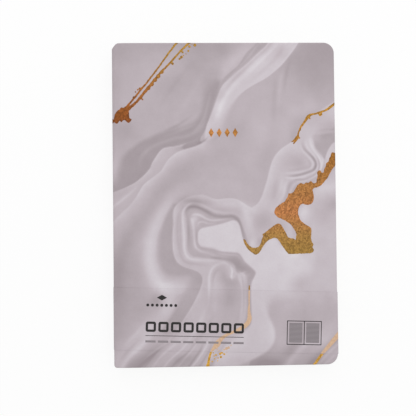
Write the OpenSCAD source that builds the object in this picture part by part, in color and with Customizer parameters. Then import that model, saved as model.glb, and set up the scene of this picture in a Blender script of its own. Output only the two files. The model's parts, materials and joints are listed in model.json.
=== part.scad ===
// Closed A5 planner: a sewn block of pages in a wrapped cover with round fore-edge
// corners, foil veins, and a printed paper band tucked round both covers.
// It lies on its back cover. +X runs from the spine to the fore-edge, +Y from tail to
// head, +Z up through the front cover. The origin is under the middle of the back.

/* [Cover] */
// Width of the closed cover, from the spine to the fore-edge
cover_w = 145; // [130:1:170]
// Height of the cover, from tail to head
cover_h = 210; // [190:1:240]
// Radius of the two fore-edge corners
corner_r = 7; // [4:0.5:12]
// Cut across the blunted head corner at the spine
head_blunt = 3.3; // [1:0.1:5]
// Cut across the tail corner at the spine
tail_blunt = 0.7; // [0.3:0.1:3]
// Thickness of the printed skin
skin_t = 0.6; // [0.4:0.05:0.8]
// Thickness of the board inside each cover
board_t = 1; // [0.8:0.1:2]
// Thickness of the skin where it is pared and turned in
turn_in_t = 0.4; // [0.2:0.05:0.6]
// Width of the turned-in skin
turn_in_w = 12; // [9:1:18]
// Rounding of the skin from each cover down to the spine
shoulder_r = 2; // [1:0.1:2.2]
// Flexible strip between the spine and the edge of each board
joint_w = 5; // [4:0.5:9]
// Room round each board inside the skin
board_fit = 0.1; // [0.05:0.05:0.2]

/* [Spine] */
// Thickness of the stiffener in the spine
spine_board_t = 0.8; // [0.5:0.1:1.2]
// Thickness of the cloth glued to the back of the pages
lining_t = 0.3; // [0.2:0.05:0.5]
// Radius of the woven bead at the head and tail of the pages
bead_r = 0.7; // [0.5:0.05:0.9]
// Length of the tape that holds each bead to the back of the pages
bead_tape = 8; // [5:0.5:8]

/* [Pages] */
// Number of sheets
sheet_count = 96; // [64:8:160]
// Thickness of one sheet
sheet_t = 0.105; // [0.08:0.005:0.15]
// How far the covers stand past the pages at head, tail and fore-edge
square_w = 2; // [1.8:0.1:4]
// Radius of the fore-edge corners of the pages
page_r = 5; // [2:0.5:9]
// Thickness of an endpaper
endpaper_t = 0.15; // [0.1:0.01:0.25]
// Margin of turned-in skin that shows round each pasted-down endpaper
paste_margin = 3; // [2:0.5:6]

/* [Paper band] */
// Height of the band
band_h = 40; // [36:1:60]
// Distance from the tail edge up to the band, at the middle of the front cover
band_tail = 9.4; // [6:0.2:30]
// Angle at which the band sits askew, clockwise on the front cover
band_skew = 2; // [0:0.1:3]
// Thickness of the band's paper
band_t = 0.2; // [0.1:0.05:0.3]
// Length of each end that is tucked inside a cover
band_flap = 40; // [20:1:80]
// Room left inside the band's bends
fold_ease = 0.05; // [0.02:0.01:0.1]

/* [Fits] */
// Gap between each cover and the pages and spine at its hinge line
hinge_gap = 0.1; // [0.05:0.01:0.2]

/* [Foil and ink] */
// Thickness of the foil stamped on the front cover
foil_t = 0.05; // [0.03:0.01:0.1]
// Thickness of a printed field
ink_t = 0.03; // [0.02:0.01:0.05]
// Space kept between neighbouring fields and round the band
print_gap = 0.15; // [0.1:0.05:0.3]

/* [Marks on the band] */
// Distance from the spine to the first mark
marks_left = 20; // [10:1:24]
// Height of the row of tick boxes above the lower edge of the band
boxes_up = 12; // [11:0.1:14]
// Side of a tick box
box_side = 6.6; // [5:0.1:7.5]
// Width of the line round a tick box
box_line = 1.5; // [1:0.1:2]
// Distance from one tick box to the next
box_pitch = 8.1; // [7.8:0.1:8.4]
// Number of tick boxes
box_count = 8; // [4:1:8]
// Rounding of a tick box
box_round = 1.4; // [0.8:0.1:2]
// Height of the thin rule above the lower edge of the band
rule_up = 9.4; // [8.5:0.1:10.2]
// Thickness of the thin rule
rule_t = 0.35; // [0.3:0.05:0.6]
// Height of the row of dashes above the lower edge of the band
dashes_up = 5.2; // [4:0.1:6.5]
// Height of a dash
dash_t = 1.3; // [0.8:0.1:1.6]
// Height of the row of dots below the upper edge of the band
dots_down = 10.8; // [9:0.1:11.5]
// Diameter of a dot
dot_d = 1.9; // [1.2:0.1:2.4]
// Distance from one dot to the next
dot_pitch = 3; // [2.8:0.1:3.4]
// Number of dots
dot_count = 7; // [3:1:7]
// Width of the small lozenge above the dots
lozenge_w = 6.5; // [4:0.5:10]
// Height of the small lozenge above the dots
lozenge_h = 3.6; // [2:0.2:4]
// Distance from the lozenge to the row of dots
lozenge_up = 4.9; // [4.4:0.1:5.2]
// Width of the open-pages frame
spread_w = 22.6; // [18:0.2:26]
// Height of the open-pages frame
spread_h = 15.6; // [12:0.2:18]
// Distance from the frame to the fore-edge
spread_right = 11.2; // [9:0.2:14]
// Height of the frame above the lower edge of the band
spread_up = 5.4; // [3:0.1:7]
// Width of the frame's line
spread_line = 0.5; // [0.4:0.1:1]
// Margin between the frame and the ruled field of each page
spread_margin = 1; // [0.8:0.1:2]

/* [Marks on the cover] */
// Number of foil lozenges above the middle of the cover
foil_marks = 4; // [2:1:4]
// Width of a foil lozenge
foil_mark_w = 3.4; // [2:0.2:4]
// Height of a foil lozenge
foil_mark_h = 6; // [4:0.2:8]
// Distance from one foil lozenge to the next
foil_mark_pitch = 5.2; // [4.8:0.1:6]

/* [Hidden] */
$fn = 48;

// A cover is built with x from the spine, y from the middle of its height, and z from
// the hinge plane outwards; the hinge plane is the face that is nearest to the pages.
cover_t = skin_t + board_t + turn_in_t;
edge_r = cover_t / 2;
flap_z = band_t;
inner_z = flap_z + endpaper_t;
outer_z = inner_z + cover_t;
band_z = outer_z + band_t;
shoulder = min(shoulder_r, outer_z);
board_z = inner_z + turn_in_t;

// Bends of the band: round the fore-edge and over the shoulder
wrap_r = (outer_z - flap_z) / 2;
wrap_x = cover_w - edge_r + fold_ease;
fore_x = wrap_x + wrap_r;
bend_r = shoulder - fold_ease;
band_y = band_tail - cover_h / 2;

// Levels through the closed planner
back_hinge_z = band_z;
pages_z = back_hinge_z + hinge_gap;
leaves_t = sheet_count * sheet_t;
block_t = leaves_t + 2 * endpaper_t;
front_hinge_z = pages_z + block_t + hinge_gap;

// The spine's outer face, so that the band's two bends stand at equal distances from x = 0
spine_x = -fore_x / 2;
spine_t = skin_t + spine_board_t + turn_in_t;
block_x = spine_t + lining_t;
block_h = cover_h - 2 * square_w;

// Where the lower edge of the band meets the spine, and how far it climbs across it
band_spine_y = band_y + cover_w / 2 * tan(band_skew);
band_climb = block_t * tan(band_skew);

// The marbling and the veins are drawn on squared paper, with x from the spine and y from
// the tail, and its squares are stretched to the cover.
SQUARES = [145, 210];
stretch_x = cover_w / SQUARES.x;
stretch_y = cover_h / SQUARES.y;
curve_steps = 3;
FOIL_MARKS_AT = [71.8, 151.2];

// Foil veins: each point is x, y and the width there
VEIN_THIN = [[42, 210, 1], [38.2, 205.5, 0.8], [34.5, 199.4, 0.8], [30.7, 194.2, 0.9],
  [26.4, 188.8, 0.9], [22.8, 184.6, 1], [19.4, 179.6, 1.1], [15.5, 174.4, 1.2],
  [11, 169.4, 1.4], [8, 165.5, 1.6]];
VEIN_THICK = [[51, 210, 2.6], [47.6, 206.7, 2], [43.2, 202.8, 1.8], [40.1, 198.8, 1.6],
  [37, 195.3, 1.7], [32.6, 191, 2], [27.8, 186.4, 1.6], [23.9, 181.4, 1.7],
  [20.3, 176.6, 2.2], [16.3, 171.6, 2], [11.5, 167, 2.4], [7, 164, 5]];
VEIN_RIGHT = [[144.9, 169.5, 1.2], [140.7, 166.5, 1], [135.7, 163.9, 1.8], [129.5, 163, 1.2],
  [127, 161.4, 1.7], [124.5, 158, 1.2], [122, 154.2, 1.1], [120.4, 150.5, 1.2],
  [119.6, 147, 2], [116.2, 144.6, 1.2]];
VEIN_MIDDLE = [[87.6, 51.5, 0.7], [87.2, 44, 0.9], [87, 36, 1.2], [87.9, 31.5, 2.2],
  [86, 27.8, 2.6], [82.6, 24.8, 2.6], [77.6, 22, 1.8], [72, 19.6, 1.9], [68.2, 16.8, 3.2],
  [65, 13.4, 3.8], [62.4, 10, 2.2], [61, 6.2, 1.8], [59.6, 0, 2.2]];
VEIN_CORNER = [[145, 19, 3.6], [139.5, 12.9, 2.7], [134.5, 7.2, 2], [129.2, 0, 1.8]];

// Foil blotches: outlines
BLOT_SPINE = [[0.2, 158.6], [3, 157.6], [5.5, 158.3], [8.2, 157.4], [10.5, 158.2],
  [12.2, 160.3], [11.2, 162.6], [12.6, 164.6], [11.3, 167.4], [8, 168.3], [5, 167.6],
  [2.6, 164.8], [0.8, 161.6]];
BLOT_UPPER = [[144.9, 137.8], [142.2, 137.3], [140, 133.8], [138.2, 129.6], [137.4, 125.8],
  [134.8, 126], [133, 123.6], [133.4, 119.4], [130.8, 117.8], [127.6, 118.8], [123.2, 117.9],
  [120.1, 115.4], [117.4, 111.8], [114.4, 110.8], [112.4, 106.8], [108.9, 103.5],
  [105.6, 101.6], [104.4, 98.9], [105.8, 96], [109.5, 93.7], [113.4, 92], [116.6, 88.8],
  [118.6, 85.4], [118.9, 80.6], [124, 79], [128.6, 81], [128.5, 87.2], [124.7, 91],
  [121.4, 94.1], [120.2, 98.5], [120.9, 102.2], [123.4, 104.5], [127, 103.9],
  [130.2, 106], [130.6, 109.6], [129.7, 114], [134.2, 116.2], [137, 118.5],
  [140.8, 122.6], [144.9, 130]];
BLOT_LOWER = [[84, 81.8], [84.6, 79.2], [86.6, 76.4], [89.5, 73.6], [92.2, 72.1], [95, 74.3],
  [97.4, 78.2], [100.6, 81.5], [103.9, 82.7], [106.6, 81.8], [108.9, 78.4], [111.2, 74.6],
  [113.6, 72.2], [120, 72.4], [128.4, 72.6], [129.9, 76.2], [128.4, 80], [127.6, 86.4],
  [121.6, 88], [118.8, 84.6], [117.6, 81.4], [114.2, 82.8], [111.6, 86], [109.5, 89.5],
  [107.8, 91.3], [105.4, 91.2], [102.6, 89.6], [99.6, 86.8], [97, 84.1], [95.8, 81],
  [94.6, 78], [92.4, 76.7], [90, 76.8], [87.4, 78.8], [85.4, 81.2]];

// Loose drops of foil: x, y and diameter
DROPS = [[55, 208.6, 1.8], [50.6, 204.7, 1], [45.2, 201.4, 1.7], [43.2, 200.2, 1.2],
  [15, 178.2, 1.1], [17, 180, 1], [20.8, 173.6, 1], [72.6, 11.6, 1.3], [68.6, 8.6, 1.6],
  [68.9, 6.6, 1], [65.2, 8, 1]];

// Pale marbling: x, y and width along each stroke, and one outline
PALE_SWEEP = [[110, 210, 24], [101, 198, 22], [91, 188, 17], [81, 179, 12], [74, 171, 9],
  [69, 161, 8], [63.5, 151, 7], [54, 143.2, 5.5], [43, 140.2, 5.5], [34, 135.4, 6.5],
  [26, 126.6, 7.5], [16, 118.4, 7], [7, 112, 7.5], [0, 107.6, 8]];
PALE_GLOW = [[41, 110, 2.5], [33, 101, 4], [27.4, 92, 5.5], [24, 82, 6.5], [23.4, 72, 7],
  [26, 62.6, 7], [32, 56, 6], [41, 52.8, 4.5]];
PALE_LOOP = [[95.4, 106.6, 3], [90.6, 102.6, 3.6], [85, 105.6, 3.6], [78, 108, 3],
  [69, 108.6, 2.4], [61, 109.8, 2.2], [52, 111.6, 2.4], [45, 108.8, 2.8], [41.2, 102, 3],
  [40.4, 92, 2.8], [40.4, 82, 2.8], [42, 72.6, 3], [47.6, 66, 3], [55, 63.4, 2.6]];
PALE_RIGHT = [[119, 143.4, 3], [111, 139.6, 4.5], [106, 132, 5], [103, 123, 4.5],
  [100.4, 114, 4.5], [97, 106.4, 4]];
PALE_POOL = [[54.2, 82], [56.4, 87.4], [62, 90.6], [70, 92.6], [77.4, 93.2], [81.6, 90],
  [83, 83.6], [86.4, 75.6], [92, 71.2], [96, 76], [101, 80.6], [106, 80.4], [110, 74.6],
  [113.4, 71.2], [122, 71], [129.6, 70.4], [131.4, 64], [128, 56.4], [118.6, 51.8],
  [106.8, 48.4], [104, 38], [105.2, 26], [103, 15], [96, 9.4], [89.4, 13], [90.6, 25],
  [91.2, 38], [90.2, 50], [92.4, 60.4], [87.6, 67.2], [81, 72.8], [70, 74], [60, 76.4]];

// Dark marbling: x, y and width along each stroke, and one outline
DARK_SWEEP = [[62.6, 184, 4], [61.6, 175, 8], [59.4, 166, 9], [54.6, 157, 8], [46, 151.4, 7],
  [35, 147.6, 8], [24, 140.6, 11], [15, 131.6, 13], [6, 121, 8], [0, 115.6, 5]];
DARK_CRESCENT = [[39.6, 103.6, 2], [35.4, 97, 5], [33.8, 87, 6.5], [33.4, 76, 7], [36, 66.8, 7],
  [43, 62, 5], [51, 59.6, 3.4]];
DARK_LOOP = [[45.6, 98, 1.4], [47.6, 102.6, 2.2], [53, 104, 2.6], [60, 100.8, 2.4],
  [68, 98.2, 2], [76, 97.6, 2], [81, 94.2, 1.8], [85, 87, 1.4]];
DARK_FOOT = [[52, 79, 1.6], [56, 74.4, 2], [64, 71.6, 2], [73, 71, 2], [80, 68.4, 3.4],
  [85.4, 63.6, 3.4], [88.6, 59.4, 2.4], [87, 52, 1.6]];
DARK_STREAK = [[95.6, 209.4, 5], [88, 200.6, 3.6], [79.6, 191.4, 3], [71.6, 183, 2.2]];
DARK_CORNER = [[119, 203], [124, 208.4], [134, 209.6], [144.8, 209.6], [144.9, 198],
  [144.9, 187], [136, 186.4], [126, 189.4], [118.6, 195]];
DARK_SPINE = [[4, 80, 4], [4.6, 68, 8], [4.4, 54, 9], [4.6, 41, 8], [7, 30, 5]];

function on_cover(p) = [p.x * stretch_x, p.y * stretch_y - cover_h / 2];
function curve_at(a, b, c, d, t) =
  0.5 * (2 * b + (c - a) * t + (2 * a - 5 * b + 4 * c - d) * t * t
    + (3 * b - a - 3 * c + d) * t * t * t);
function open_curve(p) = concat(
  [for (i = [0:len(p) - 2]) for (k = [0:curve_steps - 1])
    curve_at(p[max(i - 1, 0)], p[i], p[i + 1], p[min(i + 2, len(p) - 1)], k / curve_steps)],
  [p[len(p) - 1]]);
function closed_curve(p) = let (n = len(p))
  [for (i = [0:n - 1]) for (k = [0:curve_steps - 1])
    curve_at(p[(i + n - 1) % n], p[i], p[(i + 1) % n], p[(i + 2) % n], k / curve_steps)];
function stroke_side(c, side) = [for (i = [0:len(c) - 1])
  let (from = c[max(i - 1, 0)], to = c[min(i + 1, len(c) - 1)],
    run = [to.x - from.x, to.y - from.y], reach = side * c[i].z / 2 / norm(run))
  [c[i].x - run.y * reach, c[i].y + run.x * reach]];
function reversed(list) = [for (i = [len(list) - 1:-1:0]) list[i]];

// Flat shapes, drawn from the spine's outer face

module stroke(points) {
  c = open_curve(points);
  polygon([for (p = concat(stroke_side(c, 1), reversed(stroke_side(c, -1)))) on_cover(p)]);
}

module patch(points) {
  polygon([for (p = closed_curve(points)) on_cover(p)]);
}

module lozenge(w, h) {
  polygon([[-w / 2, 0], [0, -h / 2], [w / 2, 0], [0, h / 2]]);
}

// A sheet with round corners on its fore-edge side only
module leaf(left, right, h, r) {
  translate([left, -h / 2]) square([right - r - left, h]);
  translate([right - r, r - h / 2]) square([r, h - 2 * r]);
  for (side = [-1, 1]) translate([right - r, side * (h / 2 - r)]) circle(r);
}

// The same, set in from the cover's head, tail and fore-edge
module cover_leaf(left, inset) {
  leaf(left, cover_w - inset, cover_h - 2 * inset, max(corner_r - inset, 0.5));
}

// What the blunted corners at the spine leave of the cover, set in by the same distance
module between_blunt_corners(inset) {
  shrink = inset * (2 - sqrt(2));
  head = max(head_blunt - shrink, 0);
  tail = max(tail_blunt - shrink, 0);
  half = cover_h / 2 - inset;
  polygon([[inset, half - head], [inset + head, half], [cover_w, half], [cover_w, -half],
    [inset + tail, -half], [inset, tail - half]]);
}

module foil_shape() {
  for (vein = [VEIN_THIN, VEIN_THICK, VEIN_RIGHT, VEIN_MIDDLE, VEIN_CORNER]) stroke(vein);
  for (blot = [BLOT_SPINE, BLOT_UPPER, BLOT_LOWER]) patch(blot);
  for (drop = DROPS) translate(on_cover(drop)) circle(drop.z * stretch_x / 2);
}

module foil_mark_shape() {
  middle = on_cover(FOIL_MARKS_AT);
  for (i = [0:foil_marks - 1])
    translate([middle.x + (i - (foil_marks - 1) / 2) * foil_mark_pitch, middle.y])
      lozenge(foil_mark_w, foil_mark_h);
}

module pale_shape() {
  for (s = [PALE_SWEEP, PALE_GLOW, PALE_LOOP, PALE_RIGHT]) stroke(s);
  patch(PALE_POOL);
}

module dark_shape() {
  for (s = [DARK_SWEEP, DARK_CRESCENT, DARK_LOOP, DARK_FOOT, DARK_STREAK, DARK_SPINE]) stroke(s);
  patch(DARK_CORNER);
}

// The flat of the front cover that the band leaves open
module open_face() {
  intersection() {
    cover_leaf(shoulder, edge_r);
    between_blunt_corners(edge_r);
  }
}

// The band's strip where it crosses the front cover, and some way past it
module front_strip(grow = 0) {
  at_band_middle() translate([-2 * cover_w, -grow]) square([4 * cover_w, band_h + 2 * grow]);
}

module at_band_middle() {
  translate([cover_w / 2, band_y]) rotate(-band_skew) children();
}

// The same strip carried on round the spine to the back cover
module back_strip() {
  translate([0, band_climb]) mirror([1, 0]) front_strip();
}

// A strip carried on round the fore-edge, to the inside of its cover
module tucked_strip() {
  translate([2 * fore_x, 0]) mirror([1, 0]) children();
}

module tick_box() {
  difference() {
    rounded_square(box_side, box_round);
    translate([box_line, box_line]) square(box_side - 2 * box_line);
  }
}

module rounded_square(side, r) {
  translate([r, 0]) square([side - 2 * r, side]);
  translate([0, r]) square([side, side - 2 * r]);
  for (x = [r, side - r]) for (y = [r, side - r]) translate([x, y]) circle(r);
}

module marks_shape() {
  row_w = (box_count - 1) * box_pitch + box_side;
  at_band_middle() {
    translate([marks_left - cover_w / 2, 0]) {
      for (i = [0:box_count - 1]) translate([i * box_pitch, boxes_up]) tick_box();
      translate([0, rule_up]) square([row_w, rule_t]);
      for (i = [0:box_count - 1])
        translate([i * box_pitch, dashes_up]) square([box_side, dash_t]);
      translate([dot_d / 2, band_h - dots_down]) {
        for (i = [0:dot_count - 1]) translate([i * dot_pitch, 0]) circle(dot_d / 2);
        translate([(dot_count - 1) * dot_pitch / 2, lozenge_up]) lozenge(lozenge_w, lozenge_h);
      }
    }
    translate([cover_w / 2 - spread_right - spread_w, spread_up]) spread_shape();
  }
}

// An open pair of pages with a ruled field on each
module spread_shape() {
  page_w = (spread_w - spread_line) / 2;
  difference() {
    square([spread_w, spread_h]);
    for (x = [spread_line, page_w + spread_line])
      translate([x, spread_line]) square([page_w - spread_line, spread_h - 2 * spread_line]);
  }
  for (x = [spread_line, page_w + spread_line])
    translate([x + spread_margin, spread_line + spread_margin])
      square([page_w - spread_line - 2 * spread_margin, spread_h - 2 * (spread_line + spread_margin)]);
}

// Pieces of one cover

// A slab with a half-round edge on its head, tail and fore-edge
module rolled_slab() {
  left = shoulder;
  right = cover_w - corner_r;
  side = cover_h / 2 - corner_r;
  translate([0, side, 0]) rotate([90, 0, 0]) linear_extrude(2 * side) edge_section(left, cover_w);
  for (flip = [0, 1]) mirror([0, flip, 0]) {
    translate([left, side, 0]) rotate([90, 0, 90]) linear_extrude(right - left)
      edge_section(0, corner_r);
    translate([right, side, 0]) rotate_extrude(angle = 90) edge_section(0, corner_r);
  }
}

module edge_section(from, to) {
  translate([from, 0]) square([to - edge_r - from, cover_t]);
  translate([to - edge_r, edge_r]) intersection() {
    circle(edge_r);
    translate([0, -edge_r]) square([edge_r, cover_t]);
  }
}

// The quarter-round bar that turns a cover down to the spine
module shoulder_bar(shrink, h) {
  r = shoulder - shrink;
  translate([shoulder, h / 2, 0]) rotate([90, 0, 0]) linear_extrude(h) {
    translate([-r, 0]) square([r, outer_z - shoulder]);
    translate([0, outer_z - shoulder]) intersection() {
      circle(r);
      translate([-r, 0]) square(r);
    }
  }
}

module cover_skin() {
  difference() {
    intersection() {
      union() {
        translate([0, 0, inner_z]) rolled_slab();
        shoulder_bar(0, cover_h);
      }
      linear_extrude(outer_z) between_blunt_corners(0);
    }
    intersection() {
      union() {
        shoulder_bar(skin_t, cover_h);
        translate([0, 0, board_z]) linear_extrude(board_t) cover_leaf(shoulder, skin_t);
      }
      linear_extrude(outer_z) between_blunt_corners(skin_t);
    }
    linear_extrude(board_z) cover_leaf(shoulder, turn_in_w);
  }
}

module cover_board() {
  translate([0, 0, board_z]) linear_extrude(board_t) cover_leaf(joint_w, skin_t + board_fit);
}

// The endpaper steps down from the turned-in skin onto the board
module cover_pastedown() {
  inside = turn_in_w + board_fit;
  difference() {
    union() {
      translate([0, 0, flap_z]) linear_extrude(endpaper_t) cover_leaf(shoulder, paste_margin);
      translate([0, 0, inner_z]) linear_extrude(turn_in_t) cover_leaf(shoulder, inside);
    }
    linear_extrude(board_z - endpaper_t) cover_leaf(shoulder, inside + endpaper_t);
  }
}

// The band on a cover, with its strip as the child: bend up from the spine, face, bend
// round the fore-edge, and the end that is tucked inside
module cover_band() {
  intersection() {
    bent_sheet() {
      translate([-band_t, 0]) square([band_t, outer_z - bend_r]);
      translate([bend_r, outer_z - bend_r]) intersection() {
        bend(bend_r);
        translate([-bend_r - band_t, 0]) square(bend_r + band_t);
      }
      translate([bend_r, outer_z]) square([wrap_x - bend_r, band_t]);
      translate([wrap_x, flap_z + wrap_r]) intersection() {
        bend(wrap_r);
        translate([0, -wrap_r - band_t]) square([wrap_r + band_t, 2 * (wrap_r + band_t)]);
      }
      // The start of the tucked end, which the rest of it overlaps
      translate([wrap_x - fold_ease, 0]) square([fold_ease, band_t]);
    }
    linear_extrude(band_z) children();
  }
  intersection() {
    translate([wrap_x - band_flap, -cover_h / 2, 0]) cube([band_flap, cover_h, band_t]);
    linear_extrude(band_z) tucked_strip() children();
  }
}

module bent_sheet() {
  translate([0, cover_h / 2, 0]) rotate([90, 0, 0]) linear_extrude(cover_h) children();
}

module bend(r) {
  difference() {
    circle(r + band_t);
    circle(r);
  }
}

// Places of the two covers and of the pages

module at_front() {
  translate([spine_x, 0, front_hinge_z]) children();
}

module at_back() {
  translate([spine_x, 0, back_hinge_z]) mirror([0, 0, 1]) children();
}

module at_pages() {
  translate([spine_x, 0, pages_z]) children();
}

module on_front_face(thickness) {
  at_front() translate([0, 0, outer_z]) linear_extrude(thickness) children();
}

module on_band_face(thickness) {
  at_front() translate([0, 0, band_z]) linear_extrude(thickness) children();
}

module page_leaf() {
  leaf(block_x, cover_w - square_w, block_h, page_r);
}

// Pages and spine

module page_block() {
  color("ivory") at_pages() translate([0, 0, endpaper_t]) linear_extrude(leaves_t) page_leaf();
}

module front_flyleaf() {
  color("floralwhite") at_pages() translate([0, 0, block_t - endpaper_t])
    linear_extrude(endpaper_t) page_leaf();
}

module back_flyleaf() {
  color("floralwhite") at_pages() linear_extrude(endpaper_t) page_leaf();
}

module spine_lining() {
  lining_h = block_h - 2 * bead_tape;
  color("white") at_pages() translate([spine_t, -lining_h / 2, 0]) cube([lining_t, lining_h, block_t]);
}

// A woven bead on its tape, glued to the back of the pages
module page_bead() {
  at_pages() linear_extrude(block_t) {
    translate([spine_t, block_h / 2 - bead_tape]) square([lining_t, bead_tape + bead_r]);
    translate([block_x, block_h / 2]) square([2 * bead_r, bead_r]);
    translate([block_x + bead_r, block_h / 2 + bead_r]) intersection() {
      circle(bead_r);
      translate([-bead_r, 0]) square([2 * bead_r, bead_r]);
    }
  }
}

module head_band() {
  color("lightgray") page_bead();
}

module tail_band() {
  color("lightgray") mirror([0, 1, 0]) page_bead();
}

module spine_skin() {
  color("silver") at_pages() linear_extrude(block_t) difference() {
    intersection() {
      between_blunt_corners(0);
      translate([0, -cover_h / 2]) square([spine_t, cover_h]);
    }
    spine_pocket();
    translate([skin_t + spine_board_t, turn_in_w - cover_h / 2])
      square([turn_in_t, cover_h - 2 * turn_in_w]);
  }
}

module spine_pocket() {
  intersection() {
    between_blunt_corners(skin_t);
    translate([skin_t, -cover_h / 2]) square([spine_board_t, cover_h]);
  }
}

module spine_board() {
  color("tan") at_pages() linear_extrude(block_t) intersection() {
    spine_pocket();
    translate([skin_t, board_fit + skin_t - cover_h / 2])
      square([spine_board_t, cover_h - head_blunt - 2 * (skin_t + board_fit)]);
  }
}

module band_spine() {
  edge_h = band_h / cos(band_skew);
  color("gainsboro") at_pages() translate([-band_t, band_spine_y, 0]) rotate([90, 0, 90])
    linear_extrude(band_t)
      polygon([[band_climb, 0], [band_climb + edge_h, 0], [edge_h, block_t], [0, block_t]]);
}

// Front cover

module front_skin() {
  color("silver") at_front() cover_skin();
}

module front_board() {
  color("tan") at_front() cover_board();
}

module front_pastedown() {
  color("floralwhite") at_front() cover_pastedown();
}

module cover_foil() {
  color("peru") on_front_face(foil_t) difference() {
    intersection() {
      union() {
        foil_shape();
        foil_mark_shape();
      }
      open_face();
    }
    front_strip(print_gap);
  }
}

module pale_marbling() {
  color("gainsboro") on_front_face(ink_t) difference() {
    intersection() {
      pale_shape();
      open_face();
    }
    front_strip(print_gap);
    foil_shape();
    foil_mark_shape();
  }
}

module dark_marbling() {
  color("darkgray") on_front_face(ink_t) difference() {
    intersection() {
      dark_shape();
      open_face();
    }
    front_strip(print_gap);
    pale_shape();
    foil_shape();
    foil_mark_shape();
  }
}

module band_front() {
  color("gainsboro") at_front() cover_band() front_strip();
}

module band_veins() {
  color("burlywood") on_band_face(ink_t) difference() {
    intersection() {
      union() {
        stroke(VEIN_MIDDLE);
        stroke(VEIN_CORNER);
      }
      open_face();
      front_strip(-print_gap);
    }
    marks_shape();
  }
}

module band_marks() {
  color("dimgray") on_band_face(ink_t) marks_shape();
}

// Back cover

module back_skin() {
  color("silver") at_back() cover_skin();
}

module back_board() {
  color("tan") at_back() cover_board();
}

module back_pastedown() {
  color("floralwhite") at_back() cover_pastedown();
}

module band_back() {
  color("gainsboro") at_back() cover_band() back_strip();
}

page_block();
front_flyleaf();
back_flyleaf();
spine_lining();
head_band();
tail_band();
spine_skin();
spine_board();
band_spine();
front_skin();
front_board();
front_pastedown();
cover_foil();
pale_marbling();
dark_marbling();
band_front();
band_veins();
band_marks();
back_skin();
back_board();
back_pastedown();
band_back();
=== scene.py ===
import json
import math
import bpy
import bmesh
import numpy as np
from mathutils import Matrix, Vector, noise


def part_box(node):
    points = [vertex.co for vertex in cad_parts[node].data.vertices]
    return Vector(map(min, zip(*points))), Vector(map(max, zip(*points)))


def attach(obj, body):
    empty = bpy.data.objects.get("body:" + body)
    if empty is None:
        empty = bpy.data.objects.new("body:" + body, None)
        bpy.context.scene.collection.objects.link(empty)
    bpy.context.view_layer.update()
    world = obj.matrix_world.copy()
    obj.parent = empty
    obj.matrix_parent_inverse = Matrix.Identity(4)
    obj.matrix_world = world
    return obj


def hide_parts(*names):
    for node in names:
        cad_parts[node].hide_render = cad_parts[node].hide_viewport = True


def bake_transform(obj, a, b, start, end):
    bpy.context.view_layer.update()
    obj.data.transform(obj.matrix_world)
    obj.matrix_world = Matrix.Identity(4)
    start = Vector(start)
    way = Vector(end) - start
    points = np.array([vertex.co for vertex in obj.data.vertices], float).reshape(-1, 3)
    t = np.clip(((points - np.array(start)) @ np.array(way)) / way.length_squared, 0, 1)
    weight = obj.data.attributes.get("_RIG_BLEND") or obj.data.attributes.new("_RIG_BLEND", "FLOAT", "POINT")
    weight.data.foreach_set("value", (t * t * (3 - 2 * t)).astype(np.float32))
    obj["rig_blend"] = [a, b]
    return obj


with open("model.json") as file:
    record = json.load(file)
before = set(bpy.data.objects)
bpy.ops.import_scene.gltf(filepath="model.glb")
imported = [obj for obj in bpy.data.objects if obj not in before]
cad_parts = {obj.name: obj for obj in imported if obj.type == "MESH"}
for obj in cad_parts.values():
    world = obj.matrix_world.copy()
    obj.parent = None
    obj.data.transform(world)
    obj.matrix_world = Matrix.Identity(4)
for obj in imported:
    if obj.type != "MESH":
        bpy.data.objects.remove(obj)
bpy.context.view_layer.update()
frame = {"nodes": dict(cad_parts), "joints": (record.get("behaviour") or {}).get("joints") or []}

# Lengths are in millimetres until a piece is finished, when it is scaled to metres.
mm = 0.001
tiny = 0.001        # a length that is too small to matter, for comparing places
nearZero = 1e-9     # keeps a division by a length of nothing from failing


def millimetres(node):
    low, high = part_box(node)
    return low / mm, high / mm


skinLow, skinHigh = millimetres("front_skin")
backLow, _ = millimetres("back_skin")
hingeAt = {joint["name"]: Vector(joint["pos_m"]) / mm for joint in frame["joints"]}

# What the CAD says of the cover, and the sizes of its wrapped skin
cover = {
    "spineX": skinLow.x,          # the spine's outer face
    "width": skinHigh.x - skinLow.x,
    "half": skinHigh.y,           # half of the height
    "top": skinHigh.z,            # face of the front cover
    "bottom": backLow.z,          # face of the back cover
    "frontHinge": hingeAt["front_cover_hinge"].z,
    "backHinge": hingeAt["back_cover_hinge"].z,
    "corner": 7.0,                # radius of the fore-edge corners
    "headBlunt": 3.3,             # cut across the head corner at the spine
    "tailBlunt": 0.7,             # and across the tail corner there
    "shoulder": 2.0,              # radius from a cover down to the spine
    "thick": 2.0,                 # skin, board and turned-in skin together
    "spineThick": 1.8,            # the same with the spine's stiffener
    "skin": 0.6,                  # thickness of the sheet
    "turnIn": 0.4,                # and of its turned-in edge
    "turnInWidth": 12.0,
}
cover["roll"] = cover["thick"] / 2
cover["middle"] = (cover["top"] + cover["bottom"]) / 2
cover["quarter"] = cover["shoulder"] * math.pi / 2
cover["foreStart"] = cover["width"] - cover["roll"]
cover["seam"] = cover["shoulder"] - cover["quarter"] - (
    cover["top"] - cover["shoulder"] - cover["middle"])     # the middle of the spine


def smoothUp(t):
    t = np.clip(t, 0, 1)
    return t * t * (3 - 2 * t)


def mixed(a, b, t):
    return a + (b - a) * t


# Sheets: each skin, band and leaf is drawn flat as a bmesh, in pattern millimetres, with
# float layers that say how far each point is lifted or rolled; one function then puts
# every point in its place on the planner.
finishing = {
    "cut": 1e-5,        # a cut that passes a point this closely goes through it
    "weld": 1e-7,       # points of a finished piece that are closer, in metres, are one
    "sharp": 35,        # degrees between two faces, past which their edge stays crisp
}


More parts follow.
